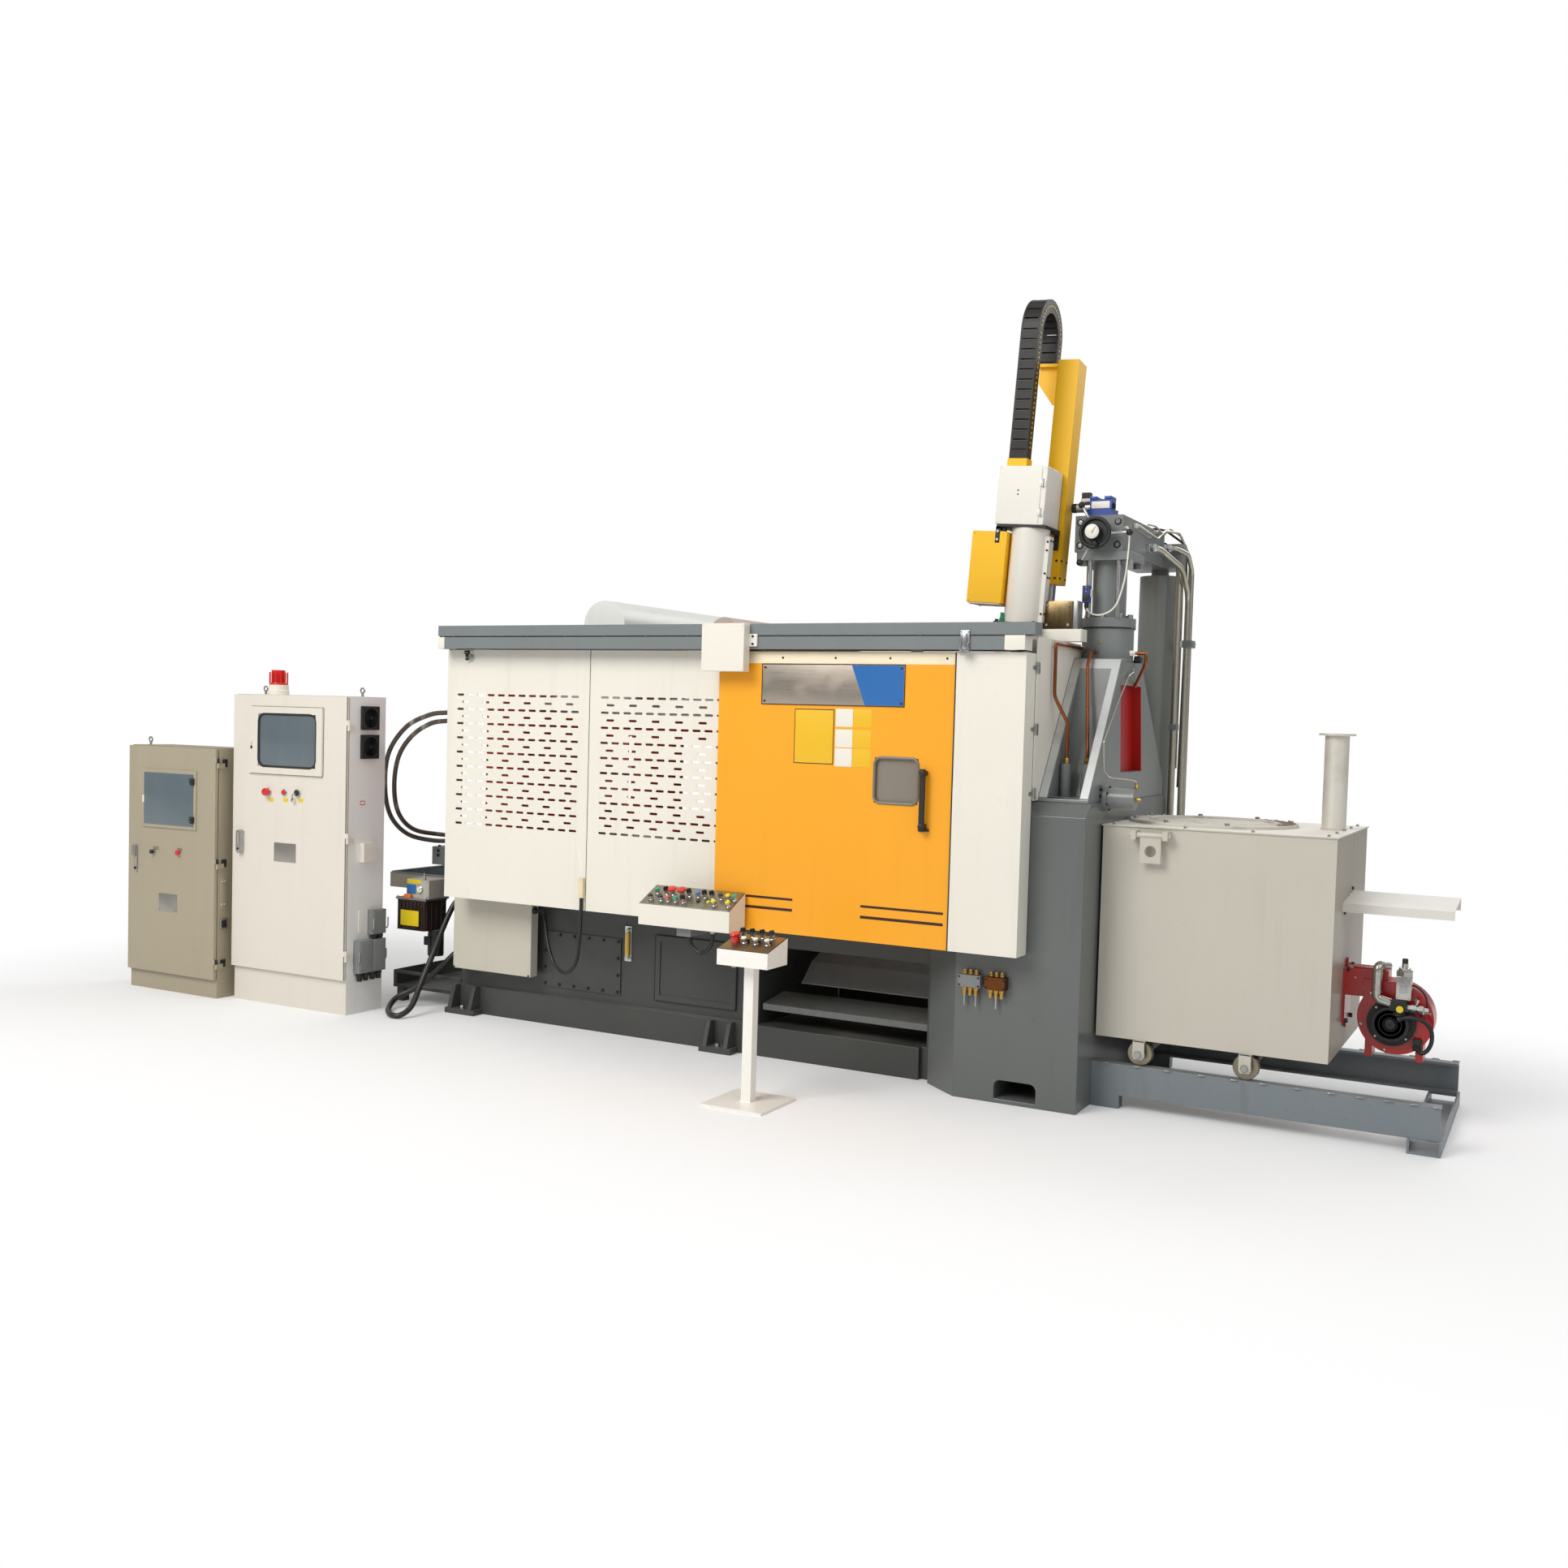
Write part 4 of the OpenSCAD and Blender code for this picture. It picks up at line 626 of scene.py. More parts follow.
# Die pedestal: a cast box that carries the fixed platen, bevelled round its top, with
# two valve blocks screwed to its front, their brass unions above and below.
dress("die_pedestal", mid_grey, 6, steps=3)
copper_block = bare("copper_block", "77492B", 0.4, (30, 30, 30), 0.4)
block_grey = enamel("block_grey", "7F8282", 0.35, 0.1, 0.2, 0.1)
dress("valve_blocks", block_grey, 2,
      [((-134, -770, 516), (-38, -700, 574), copper_block), ((-300, -770, 574), (0, -700, 600), brass),
       ((-300, -770, 470), (0, -700, 517), brass)])
union_x = [-236, -209, -182, -112, -86, -60]
build("valve_unions", "machine",
      (copies(turned([(8, 0), (11, 2), (11, 10), (8, 12), (8, 16), (6, 18), (6, 24)], (0, 0, 0), UP, 6),
              [(x, -735, 573) for x in union_x]), brass),
      (copies(turned([(9, 0), (12, 2), (12, 14), (9, 16), (9, 24), (7, 26)], (0, 0, 0), (0, 0, -1), 6),
              [(x, -735, 516) for x in union_x]), brass),
      (copies(turned([(5, 0), (5, 60)], (0, 0, 0), (0, 0, -1), 10), [(x, -735, 490) for x in union_x[::2]]),
       zinc_plate),
      (screws(FRONT, 9, 4, [(x, -760, z) for x in (-254, -163, -126, -46) for z in (527, 564)]), screw_black))

# Guards: a light grey tube frame carries white panels with rows of slots, folded at
# their edges; the rail on top is two grey channels with a fine joint between them.
dress("cover_frame", light_grey, 2, cut=True)
switch_cream = enamel("switch_cream", "EBD9B4", 0.36, 0.04, 0.0, 0.05)
dress("left_panel", warm_white, 0, [((-2347, -802, 751), (-2318, -780.5, 855), switch_cream)])
dress("middle_panel", warm_white, 0)
# The guard's inward faces are painted near black: painted shade inside the guard.
shaded = enamel("guard_inside_shade", "2C2724", 0.6, 0.2, 0.1, 0.1)
dress("rear_panels", warm_white, 1, [((-3300, 770, 640), (60, 777, 2100), shaded)])
build("panel_gap", "machine", (pad((-2315.5, -780.6, 686), (-2312.5, -776, 2024), corner=0.5, edge=0.2),
                               screw_black))
build("panel_bracket", "machine",
      (pad((-3128, -806, 2002), (-3098, -792, 2020), corner=4, edge=2), black_moulded),
      (pad((-3120, -804, 1968), (-3102, -796, 2006), corner=6, edge=2), black_moulded),
      (turned([(4, -10), (14, -10), (15, -8), (15, 2), (14, 4), (4, 4)], (-3094, -796, 1984), FRONT, 24),
       zinc_plate),
      (turned([(5, 0), (5, 9), (4, 10)], (-3111, -796, 1984), FRONT, 12), zinc_plate),
      (screws(FRONT, 9, 4, [(-3120, -806, 2011), (-3105, -806, 2011)]), zinc_plate))
dress("side_cover", warm_white, 1, [((45, -740, 1300), (60, -660, 2010), zinc_plate)])
dress("right_cover", warm_white, 2, [((42, -760, 1300), (60, -700, 2010), zinc_plate)])
build("side_cover_return", "machine", (pad((40.6, -713.5, 1372), (43.4, -698, 2085), 0, 0.5, 0.3), warm_white))
rail_paint = enamel("rail_paint", "7E8486", 0.32, 0.08, 0.06, 0.1, coat=0.3)
dress("top_rail", rail_paint, 2,
      [((-3252, -880, 2028), (-3209, -770, 2088), warm_white), ((-6, -880, 2028), (42, -770, 2092), warm_white),
       ((-2700, -800, 2030), (0, -770, 2052), bright_steel)])
# White end caps close the lower channel.
build("rail_end_caps", "machine",
      (pad((-3252, -873.4, 2028), (-3207, -775.5, 2088.4), 1, 2, 1), warm_white),
      (pad((-52, -873.4, 2028), (41.4, -775.5, 2091.6), 1, 2, 1), warm_white))
build("rail_joint", "machine",
      (pad((-3240, -872.6, 2088.5), (80, -871, 2093.5), corner=1, edge=0.4), screw_black),
      (copies(turned([(6, 0), (6, 2), (4, 3.5)], (0, 0, 0), FRONT, 12),
              spread((-3140, -872, 2097), (40, -872, 2097), 14)), rail_paint))
dress("rail_box", warm_white, 3)
build("rail_box_screws", "machine",
      (screws(FRONT, 11, 5, [(-1303, -884, 2052), (-1303, -884, 2088)]), screw_black),
      (screws(FRONT, 8, 3, [(x, -930, z) for x in (-1549, -1335) for z in (1930, 2138)]), warm_white))
# Chromed toggle latch between the rail and the corner cover.
build("cover_latch", "machine",
      (pad((-257, -880, 2010), (-211, -873, 2113), corner=5, edge=2), bright_steel),
      (pad((-246, -890, 2030), (-222, -880, 2100), corner=8, edge=4), bright_steel),
      (tube(smooth([(-250, -884, 2060), (-250, -896, 2020), (-234, -900, 2004), (-218, -896, 2020),
                    (-218, -884, 2060)], 24), 3, 8), bright_steel),
      (screws(FRONT, 8, 3, [(x, -880, z) for x in (-251, -217) for z in (2016, 2107)]), bright_steel))

# Sliding door: orange yellow sheet box with a raw aluminium strip along its top, a bare
# metal plate in a thin frame, two pairs of dark stripes, a small window and a bar handle.
door_yellow = enamel("door_yellow", "FDAC1C", 0.4, 0.03, 0.03, 0.03, 420.0, 0.08, 0.1)
strip_metal = enamel("raw_strip", "FFF2D2", 0.4, 0.08, 0.08, 0.0, 60.0, 0.05, 0.2, "A8854E")
dress("safety_door", door_yellow, 2.5,
      [((-1600, -840, 1962), (-200, -800, 2030), strip_metal),
       ((-1600, -806, 1955), (-200, -770, 2080), zinc_plate)])
build("strip_screws", "door_body",
      (pad((-1509, -837, 1963), (-293, -835.5, 2019), corner=1, edge=0.4), strip_metal),
      (screws(FRONT, 10, 4, spread((-1440, -836, 1990), (-330, -836, 1990), 5)), screw_black))
plate_metal = bare("door_plate", "BEB3A6", 0.3, (1, 70, 70), 0.1, "8a7a68")
plate_blue = enamel("door_plate_blue", "2F6FB5", 0.3, 0.04, 0.0, 0.0)
stripe_brown = enamel("stripe_brown", "3A1408", 0.4, 0.05, 0.0, 0.0)
thin = [(-1271, 1771), (-533, 1771), (-533, 1960), (-1271, 1960)]
frame_line = [(np.array(a), np.array(b)) for a, b in zip(thin, thin[1:] + thin[:1])]
build("door_plate", "door_body",
      (pad((-1271, -838.5, 1771), (-533, -836, 1960), corner=3, edge=1), plate_metal),
      (bar([(-729, 1774), (-537, 1774), (-537, 1957), (-800, 1957)], -839.2, -838.5, 1), plate_blue),
      *[(pad((min(a[0], b[0]) - 2, -839.6, min(a[1], b[1]) - 2),
             (max(a[0], b[0]) + 2, -838, max(a[1], b[1]) + 2), corner=1, edge=0.4), stripe_brown)
        for a, b in frame_line],
      (copies(turned([(6, 0), (6, 1.5), (4, 2.5)], (0, 0, 0), FRONT, 14),
              [(x, -839, z) for x in (-1256, -548) for z in (1786, 1945)]), stripe_brown))
# Where the labels are, plates without any text: a tall yellow one and three pairs beside it.
label_yellow = enamel("label_yellow", "F2BF1A", 0.4, 0.03, 0.0, 0.0)
build("door_labels", "door_body",
      (pad((-1092, -837, 1496), (-884, -836, 1752), corner=3, edge=0.4), stripe_brown),
      (pad((-1088, -837.5, 1500), (-888, -836.5, 1748), corner=3, edge=0.4), label_yellow),
      *[(pad((low, -837, z), (high, -836, z + 84), corner=3, edge=0.4), paint)
        for z in (1672, 1577, 1489)
        for low, high, paint in ((-876, -788, warm_white), (-785, -692, label_yellow))])
build("door_stripes", "door_body",
      *[(bar([(a, z - t / 2), (b, z - t / 2), (b, z + t / 2), (a, z + t / 2)], -836.8, -835.5, 1), stripe_brown)
        for a, b, z, t in ((-1466, -1078, 849, 11), (-1466, -1078, 799, 13), (-722, -312, 849, 11),
                           (-722, -312, 799, 13))])
# The window's pane lies behind a moulded seal that is pressed over the sheet's edge.
pane = finish("window_pane", coat_tree, {"Colour": linear("8C8478"), "Mottle": 0.1, "Stains": 0.15, "Dust": 0.0,
              "Roughness": 0.16, "Grain": 8.0, "Stain Colour": linear("5c5348")}, 0.03, 0.002, coat=0.8)
dress("door_window", pane, 0)
seal_path = pad((-671, -1, 1330), (-454, 1, 1538), corner=32, edge=0.2, steps=8)[0].reshape(8, -1, 3)[3]
seal_path[:, 1] = -837
build("window_seal", "door_body",
      (tube(seal_path, 6.5, 8, closed=True), enamel("window_seal", "7E776A", 0.5, 0.1, 0.0, 0.1)))
dress("door_handle", black_moulded, 5, steps=3)
build("handle_caps", "door_body",
      (copies(turned([(13, 0), (13, 5), (9, 8), (4, 9)], (0, 0, 0), FRONT, 18),
              [(-417.5, -877, 1476), (-417.5, -877, 1236)]), black_moulded))
build("cover_edge_trim", "corner_cover",
      (pad((-289, -843.5, 686), (-283, -812, 2019), 2, 2, 0.8), screw_black))

# Clamping unit: three platens on four chromed tie bars, with bent toggles in orange red
# between two of them and the crosshead in the middle; nuts hold the bars in the end platen.
toggle_red = enamel("toggle_red", "C8431F", 0.4, 0.14, 0.25, 0.2)
crosshead_orange = enamel("crosshead_orange", "DE6A2A", 0.4, 0.14, 0.2, 0.2)
dress("end_platen", toggle_red, 4)
dress("moving_platen", toggle_red, 4)
dress("fixed_platen", mid_grey, 5)
dress("tie_bars", bright_steel, 1)
dress("toggle_links", toggle_red, 3,
      [((-2462, -176, 999), (-2338, 176, 2021), crosshead_orange),
       ((-2940, -50, 1330), (-2461, 50, 1420), bright_steel)])
hood_paint = enamel("hood_paint", "F2F3EF", 0.36, 0.06, 0.05, 0.03)
hood_pink = enamel("hood_paint_rear", "C9B8AC", 0.4, 0.06, 0.05, 0.12)
dress("top_hoods", hood_paint, 0.8, [((-2100, -50, 2050), (-1880, 640, 2260), hood_pink)])
build("platen_bolts", "machine",
      (screws((1, 0, 0), 30, 18, [(24.2, y, z) for y in (-560, -250, 250, 560) for z in (1150, 1880)]),
       screw_black),
      (copies(hex_head(UP, 22, 12), [(x, y, 1985) for x in (-235, -30) for y in (-480, 60, 480)]), zinc_plate))

# Extraction robot: a rolled white column leans on a black foot and carries a white terminal
# box, a yellow drive box and the folded yellow mast, with the energy chain looping over it.
robot_white = enamel("robot_white", "F0ECE2", 0.28, 0.05, 0.05, 0.08, coat=0.35)
robot_yellow = enamel("robot_yellow", "FFC400", 0.45, 0.04, 0.03, 0.0, coat=0.0)
bronze = bare("bronze_block", "94805A", 0.2, (9, 9, 0.6), 0.8, "3d2c16", bump=0.3)
dress("robot_column", robot_white, 2,
      [((-480, -390, 90), (-264, -215, 435), robot_yellow), ((-330, -390, -2), (-70, -190, 13), black_moulded),
       ((-330, -390, 451), (-60, -160, 465), black_moulded)], leaning)
dress("robot_box", robot_white, 4, steps=3)
dress("robot_mast", robot_yellow, 2, [((-155, -125, 118), (-90, -65, 214), bright_steel),
                                      ((-178, -162, 470), (-95, -151.2, 705), light_grey)], leaning)


def leaned(shape):
    """The shape on the leaning robot: each point turned by the lean about Y and lifted to the robot's foot."""
    x, y, z = shape[0].T
    return np.stack([x * LEAN_COS + z * LEAN_SIN, y, z * LEAN_COS - x * LEAN_SIN + ROBOT_FOOT], 1), shape[1]


build("bronze_bearing", "machine",
      (pad((-81, -287.5, 2157), (61, -212.5, 2287), 1, 3, 1.5), bronze),
      (pad((61, -280, 2157), (84, -205, 2288), 0, 3, 1.5), zinc_plate),
      (screws(FRONT, 13, 6, [(x, -287.5, z) for x in (-62, 42) for z in (2176, 2268)]), zinc_plate),
      (pad((-96, -297, 2098), (108, -290, 2152), 1, 2, 1), warm_white))
# Brackets that turn down from the box's black foot plate, and its cable glands.
build("box_brackets", "machine",
      *[(leaned(pad(low, high, 1, 3, 1)), black_moulded)
        for low, high in (((-323, -381, 376), (-300, -373, 453)), ((-323, -381, 440), (-300, -330, 453)),
                          ((-306, -200, 398), (-276, -192, 453)), ((-104, -178, 370), (-81, -168, 453)),
                          ((-104, -240, 440), (-81, -168, 453)))],
      (leaned(turned([(15, 0), (15, 22), (11, 24), (11, 34)], (-292, -352, 453), (0, 0, -1), 12)),
       black_moulded),
      (leaned(copies(hex_head(FRONT, 13, 5), [(-311, -381, 392), (-311, -381, 430)])), zinc_plate))
build("box_fittings", "machine",
      (leaned(pad((-122, -380.5, 470), (-120, -379, 730), 1, 0.8, 0.2)), light_grey),
      (leaned(copies(pad((-129, -384.5, 0), (-98, -380, 30), 1, 3, 1), [(0, 0, 505), (0, 0, 640)])),
       robot_white),
      (leaned(copies(turned([(5, 0), (5, 34), (3, 37)], (-112, -385.5, -2), UP, 12),
                     [(0, 0, 505), (0, 0, 640)])), zinc_plate),
      (leaned(copies(turned([(4, 0), (4, 1), (2, 1.4)], (0, 0, 0), FRONT, 10),
                     [(-231, -380, 603), (-231, -380, 622)])), screw_black),
      (leaned(screws(FRONT, 7, 2.5, [(x, -380, z) for x in (-322, -106) for z in (474, 726)])), robot_white))
build("column_bolts", "machine",
      (leaned(screws(FRONT, 10, 5, [(-84, -320, z) for z in (60, 248, 355, 395)])), screw_black),
      (leaned(screws((1, 0, 0), 10, 5, [(-76, y, z) for y in (-305, -275) for z in (60, 230, 400)])),
       screw_black),
      (leaned(pad((-284, -300, 120), (-270, -280, 405), 1, 2, 1)), robot_white),
      (leaned(screws(FRONT, 9, 4, [(-277, -300, z) for z in (140, 286, 390)])), screw_black),
      (leaned(copies(hex_head(UP, 16, 8), [(x, y, 12) for x in (-278, -96) for y in (-375, -205)])),
       screw_black),
      (leaned(turned([(12, 0), (12, 16), (9, 20), (9, 42)], (-262, -352, 12), UP, 12)),
       enamel("green_fitting", "1F8F63", 0.3)))
# The drive box's lighter underside cover, and the screws of mast and box.
build("drive_box_cover", "machine",
      (leaned(pad((-432, -376, 88), (-274, -224, 95.5), 2, 4, 1.5)), warm_white),
      (leaned(screws((0, 0, -1), 9, 3, [(x, y, 88) for x in (-420, -286) for y in (-362, -238)])), zinc_plate),
      (leaned(screws(FRONT, 8, 3, [(-428, -380, 105), (-428, -380, 420)])), robot_yellow))
build("mast_screws", "machine",
      (leaned(screws(FRONT, 11, 5, [(x, -150, z) for x in (-162, -90) for z in (243, 325)])), screw_black),
      (leaned(screws((1, 0, 0), 11, 5, [(-74, y, z) for y in (-130, -50) for z in (243, 325)])), screw_black),
      (leaned(pad((-176, -151.5, 470), (-174, -150, 1262), 1, 0.6, 0.2)), robot_yellow),
      (leaned(screws(FRONT, 10, 4, [(-214, -345, z) for z in (1190, 1235)])), screw_black))

# Energy chain: moulded links of two side plates and two covers, with yellow pins on the
# outer side plate; a dark lip runs across each cover.
chain_black = enamel("chain_black", "14110F", 0.5, 0.12, 0.0, 0.04, 500.0, 0.1, 0.0)
chain_lip = enamel("chain_lip", "37312C", 0.4, 0.1, 0.0, 0.2, 500.0, 0.1, 0.1)
dress("cable_chain", chain_black, 1.2)
pin = turned([(5.5, 0), (5.5, 1.2), (3.5, 2)], (0, 0, 0), (1, 0, 0), 12)
front_run = np.array([(-208.5, -340, 1364 - (i + k) * 46) for i in range(12) for k in (0.28, 0.72)])
bend = np.radians(np.linspace(0, 180, 21)[1:-1])
over_top = np.stack([np.full(19, -208.5), -200 - 140 * np.cos(bend), 1364 + 140 * np.sin(bend)], 1)
rear_run = np.array([(-208.5, -60, 1364 - (i + k) * 46) for i in range(2) for k in (0.28, 0.72)])
lip_places = np.array([(0, 0, 1364 - i * 46 - 3) for i in range(12)])
build("chain_pins", "machine",
      (leaned(copies(pin, np.vstack([front_run, over_top, rear_run]))), enamel("chain_pin", "D9C23A", 0.35)),
      (leaned(copies(pad((-290, -372.2, -4), (-214, -370.8, 0), 1, 1, 0.4), lip_places)), chain_lip))

# Shot unit: a cast frame with two sloping side plates carries the cylinder with its bolted
# flange and the block on top; side plates are bright where they were ground.
ground_edge = bare("ground_edge", "DADCDC", 0.42, (14, 14, 14), 0.35, "8b8d8e", bump=0.4)
guard_red = enamel("guard_red", "B4100A", 0.4, 0.1, 0.1, 0.05)
shot_grey = enamel("shot_grey", "828786", 0.32, 0.1, 0.12, 0.12, coat=0.35)
dress("shot_frame", shot_grey, 4, [((150, 180, 1690), (170, 200, 1710), guard_red)], steps=3)
# The sloping front edges and the arch over them were ground bright: thin faces on the slope
# from (y -640, z 1380) to (y -184, z 2027).
slope_foot, slope_top, slope_out = np.array([-636.0, 1386]), np.array([-188.0, 2021]), np.array([-0.818, 0.576])
arch_foot = slope_foot + (slope_top - slope_foot) * 0.93
build("ground_edges", "machine",
      *[(bar([foot - slope_out, slope_top - slope_out, slope_top + 0.7 * slope_out, foot + 0.7 * slope_out],
             low, high, 0), ground_edge)
        for foot, low, high in ((slope_foot, 48, 84), (slope_foot, 236, 272), (arch_foot, 84, 236))])
dress("red_guard", guard_red, 0.5)
valve_blue = enamel("valve_blue", "2A4CA4", 0.32, 0.08, 0.05, 0.05, coat=0.3)
sensor_blue = enamel("sensor_blue", "2F3E7E", 0.34, 0.06, 0.0, 0.05)
dress("shot_cylinder", shot_grey, 3,
      [((62, -155, 2285), (100, -117, 2375), sensor_blue), ((60, -121, 2236), (96, -90, 2492), bright_steel),
       ((204, -121, 2236), (240, -90, 2492), bright_steel)])
t = np.radians(np.arange(8) * 45)
flange_ring = np.stack([150 + 105 * np.cos(t), 105 * np.sin(t), np.full(8, 2222.0)], 1)
build("flange_bolts", "machine",
      (screws(UP, 27, 20, flange_ring), zinc_plate),
      (copies(turned([(13, 0), (13, 3), (11, 3.2)], (0, 0, 0), UP, 18), flange_ring - (0, 0, 3)), mid_grey),
      (turned([(129.2, 0), (129.2, 1.5), (128, 3), (129.2, 4.5), (129.2, 6)], (150, 0, 2172), UP, 64),
       screw_black),
      (copies(hex_head((0, 0, -1), 34, 20), [(x, y, 2490) for x in (50, 250) for y in (-104, 104)]), mid_grey),
      (turned([(6, 0), (6, 5), (4, 6), (4, 10), (2, 12)], (150, -121, 2104), FRONT, 12), brass))
build("end_sensor", "machine",
      (pad((66, -154, 2298), (94, -150, 2330), 1, 6, 1.5), black_moulded),
      (turned([(11, 0), (11, 20), (7, 34)], (80, -134, 2292), (0, 0, -1), 14), black_moulded),
      (pad((98, -140, 2318), (104, -124, 2352), 0, 2, 1), warm_white),
      (screws(FRONT, 6, 2, [(80, -150, 2362), (80, -150, 2342)]), zinc_plate))

# Manifold: a drilled steel block with sunk screws, plugs and a blue pilot valve on top; its
# solenoid is a chromed can with a ribbed black knob.
manifold_grey = enamel("manifold_grey", "7D8180", 0.32, 0.1, 0.1, 0.15, coat=0.25)
dress("shot_manifold", manifold_grey, 3, [((110, -240, 2590), (150, -147, 2630), bright_steel)])
socket_rim = turned([(17, 0), (17, 1.6), (14, 2.2), (13.4, 0.6), (9, 0.6), (8, 0.2)], (0, 0, 0), FRONT, 24)
build("manifold_screws", "machine",
      (copies(socket_rim, [(x, -130, z) for x in (36, 216) for z in (2560, 2668)]), screw_black),
      (copies(turned([(11, 0), (11, 1.8), (8, 2.2), (7, 0.8)], (0, 0, 0), FRONT, 6),
              [(x, -131, z) for x in (36, 216) for z in (2560, 2668)]), zinc_plate),
      (copies(turned([(12, 0), (12, 5), (9, 7)], (0, 0, 0), UP, 6),
              [(200, y, 2700) for y in (20, 120, 300)] + [(60, y, 2700) for y in (120, 300, 520)]), zinc_plate),
      (screws(UP, 24, 12, [(x, y, 2650) for x in (80, 230) for y in (680, 845)]), screw_black),
      (copies(turned([(14, 0), (14, 2), (11, 3), (6, 3)], (0, 0, 0), (1, 0, 0), 18),
              [(240, y, 2670) for y in (60, 420)]), zinc_plate))
dress("shot_valve", valve_blue, 2, [((-26, -100, 2700), (1, -50, 2770), black_moulded),
                                    ((0, -100, 2720), (61, -50, 2770), zinc_plate),
                                    ((26, -96, 2759.5), (66, -54, 2816), black_moulded)])
knob_turn = np.arange(60) * 2 * math.pi / 60
knob_reach = 21 + 1.6 * np.cos(10 * knob_turn)
knob = np.stack([np.broadcast_to(np.array([-24.0, -22, 0, 4])[:, None], (4, 60)),
                 -75 + np.array([0.8, 1, 1, 0.85])[:, None] * knob_reach * np.cos(knob_turn),
                 2745 + np.array([0.8, 1, 1, 0.85])[:, None] * knob_reach * np.sin(knob_turn)], 2)
build("valve_details", "machine",
      (wall(knob), black_moulded),
      (copies(pad((0, -116, 2777), (34, -34, 2792), 0, 3, 1.5), [(72, 0, 0), (142, 0, 0)]), valve_blue),
      (screws(UP, 12, 7, [(x, y, 2724) for x in (66, 182) for y in (-112, -38)]), screw_black),
      (pad((22, -99, 2770), (70, -51, 2786), 2, 4, 1.5), warm_white),
      (turned([(10, 0), (10, 8), (8, 9), (8, 26)], (46, -51, 2794), (0, 1, 0), 12), zinc_plate),
      (turned([(16, 0), (16, 6), (11, 7), (11, 2)], (176, -75, 2750), (1, 0, 0), 18), screw_black),
      (pad((80, -114, 2735), (168, -111.2, 2768), 1, 3, 1), warm_white))

# Handwheel: a moulded black rim on a dished web, with a white position dial in its hub and
# a small cranked knob; behind it the chromed star handle with black ball grips.
dress("handwheel", black_moulded, 0)
dial_white = enamel("dial_white", "F0EDE0", 0.3, 0.03, 0.05, 0.0)
ticks = [(turned([(0.9, 0), (0.9, 0.5)], (125 + 27 * math.sin(a), -240.4, 2612 + 27 * math.cos(a)), FRONT, 6),
          screw_black)
         for a in np.radians(np.arange(0, 360, 15))]
build("position_dial", "hand_wheel_body",
      (turned([(25, 0), (37, 6), (38, 24), (36.5, 26), (33.5, 26), (33, 23.5)], (125, -214, 2612), FRONT, 36),
       black_moulded),
      (turned([(33.2, 0), (33.2, 1.8), (32.5, 2)], (125, -238, 2612), FRONT, 36), dial_white),
      *ticks,
      (bar([(123.8, 2604), (126.2, 2604), (140.6, 2632), (139.4, 2633)], -241.6, -240.2, 1), screw_black),
      (turned([(3, 0), (3, 2)], (125, -240, 2612), FRONT, 10), zinc_plate),
      (turned([(8, 0), (10, 4), (11, 20), (8, 26), (3, 28)], (139, -214, 2556), FRONT, 16), black_moulded))
dress("star_handle", bright_steel, 0,
      [((267, -193, 2592), (303, -157, 2628), black_moulded), ((34, -193, 2726), (71, -157, 2763),
              black_moulded),
       ((34, -193, 2457), (71, -157, 2494), black_moulded)])
dress("accumulator", enamel("accumulator_grey", "929692", 0.2, 0.1, 0.1, 0.1, coat=0.7), 3)

# Pipes: beige zinc tubes from hexagon fittings on the manifold's right face, bent round to
# the accumulator's side and held there by a clamp; copper tubes run to the lock cylinders.


def bent(points, radius, steps=7):
    """Straight runs with rounded corners: at each corner c the curve
    (1-s)^2 (c + ra) + 2s(1-s) c + s^2 (c + rb), with a and b the directions back and on."""
    p = np.array(points, float)
    back, on = p[:-2] - p[1:-1], p[2:] - p[1:-1]
    back /= np.linalg.norm(back, axis=1)[:, None]
    on /= np.linalg.norm(on, axis=1)[:, None]
    s = np.linspace(0, 1, steps)[None, :, None]
    corner = p[1:-1][:, None]
    curve = (1 - s) ** 2 * (corner + radius * back[:,
            None]) + 2 * s * (1 - s) * corner + s ** 2 * (corner + radius * on[:, None])
    return np.vstack([p[:1], curve.reshape(-1, 3), p[-1:]])


pipe_steel = bare("pipe_steel", "C9C4B4", 0.28, (30, 30, 1), 0.3, "7d7460")
copper_tube = bare("copper_tube", "A8623A", 0.28, (30, 30, 3), 0.45, "5c3320")
tall_route = [(310, 690, 2530), (310, 690, 1150), (290, 690, 1150)]
side_route = [(240, 300, 2590), (300, 300, 2590), (346, 600, 2520), (346, 745, 2400), (346, 745, 1100),
              (250, 745, 1100), (250, 710, 1100)]
fitting = turned([(24, 0), (24, 18), (21, 20), (19, 20), (19, 30), (22, 31), (22, 48), (17, 56), (15, 56)],
                 (0, 0, 0), (1, 0, 0), 6)
pipes = build("shot_tubes", "machine",
              (tube(bent(tall_route, 14), 17, 20), pipe_steel),
              (tube(bent(side_route, 45, 9), 14, 20), pipe_steel),
              (copies(fitting, [(240, 300, 2590), (240, 590, 2620)]), bright_steel),
              (tube(bent([(290, 590, 2620), (312, 590, 2620), (352, 690, 2600), (352, 785, 2520),
                          (352, 785, 1300), (352, 785, 1130),
                          (282, 785, 1130), (282, 712, 1130)], 26, 8), 12, 18), pipe_steel),
                          slot=slots["shot_pipes"])
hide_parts("shot_pipes")
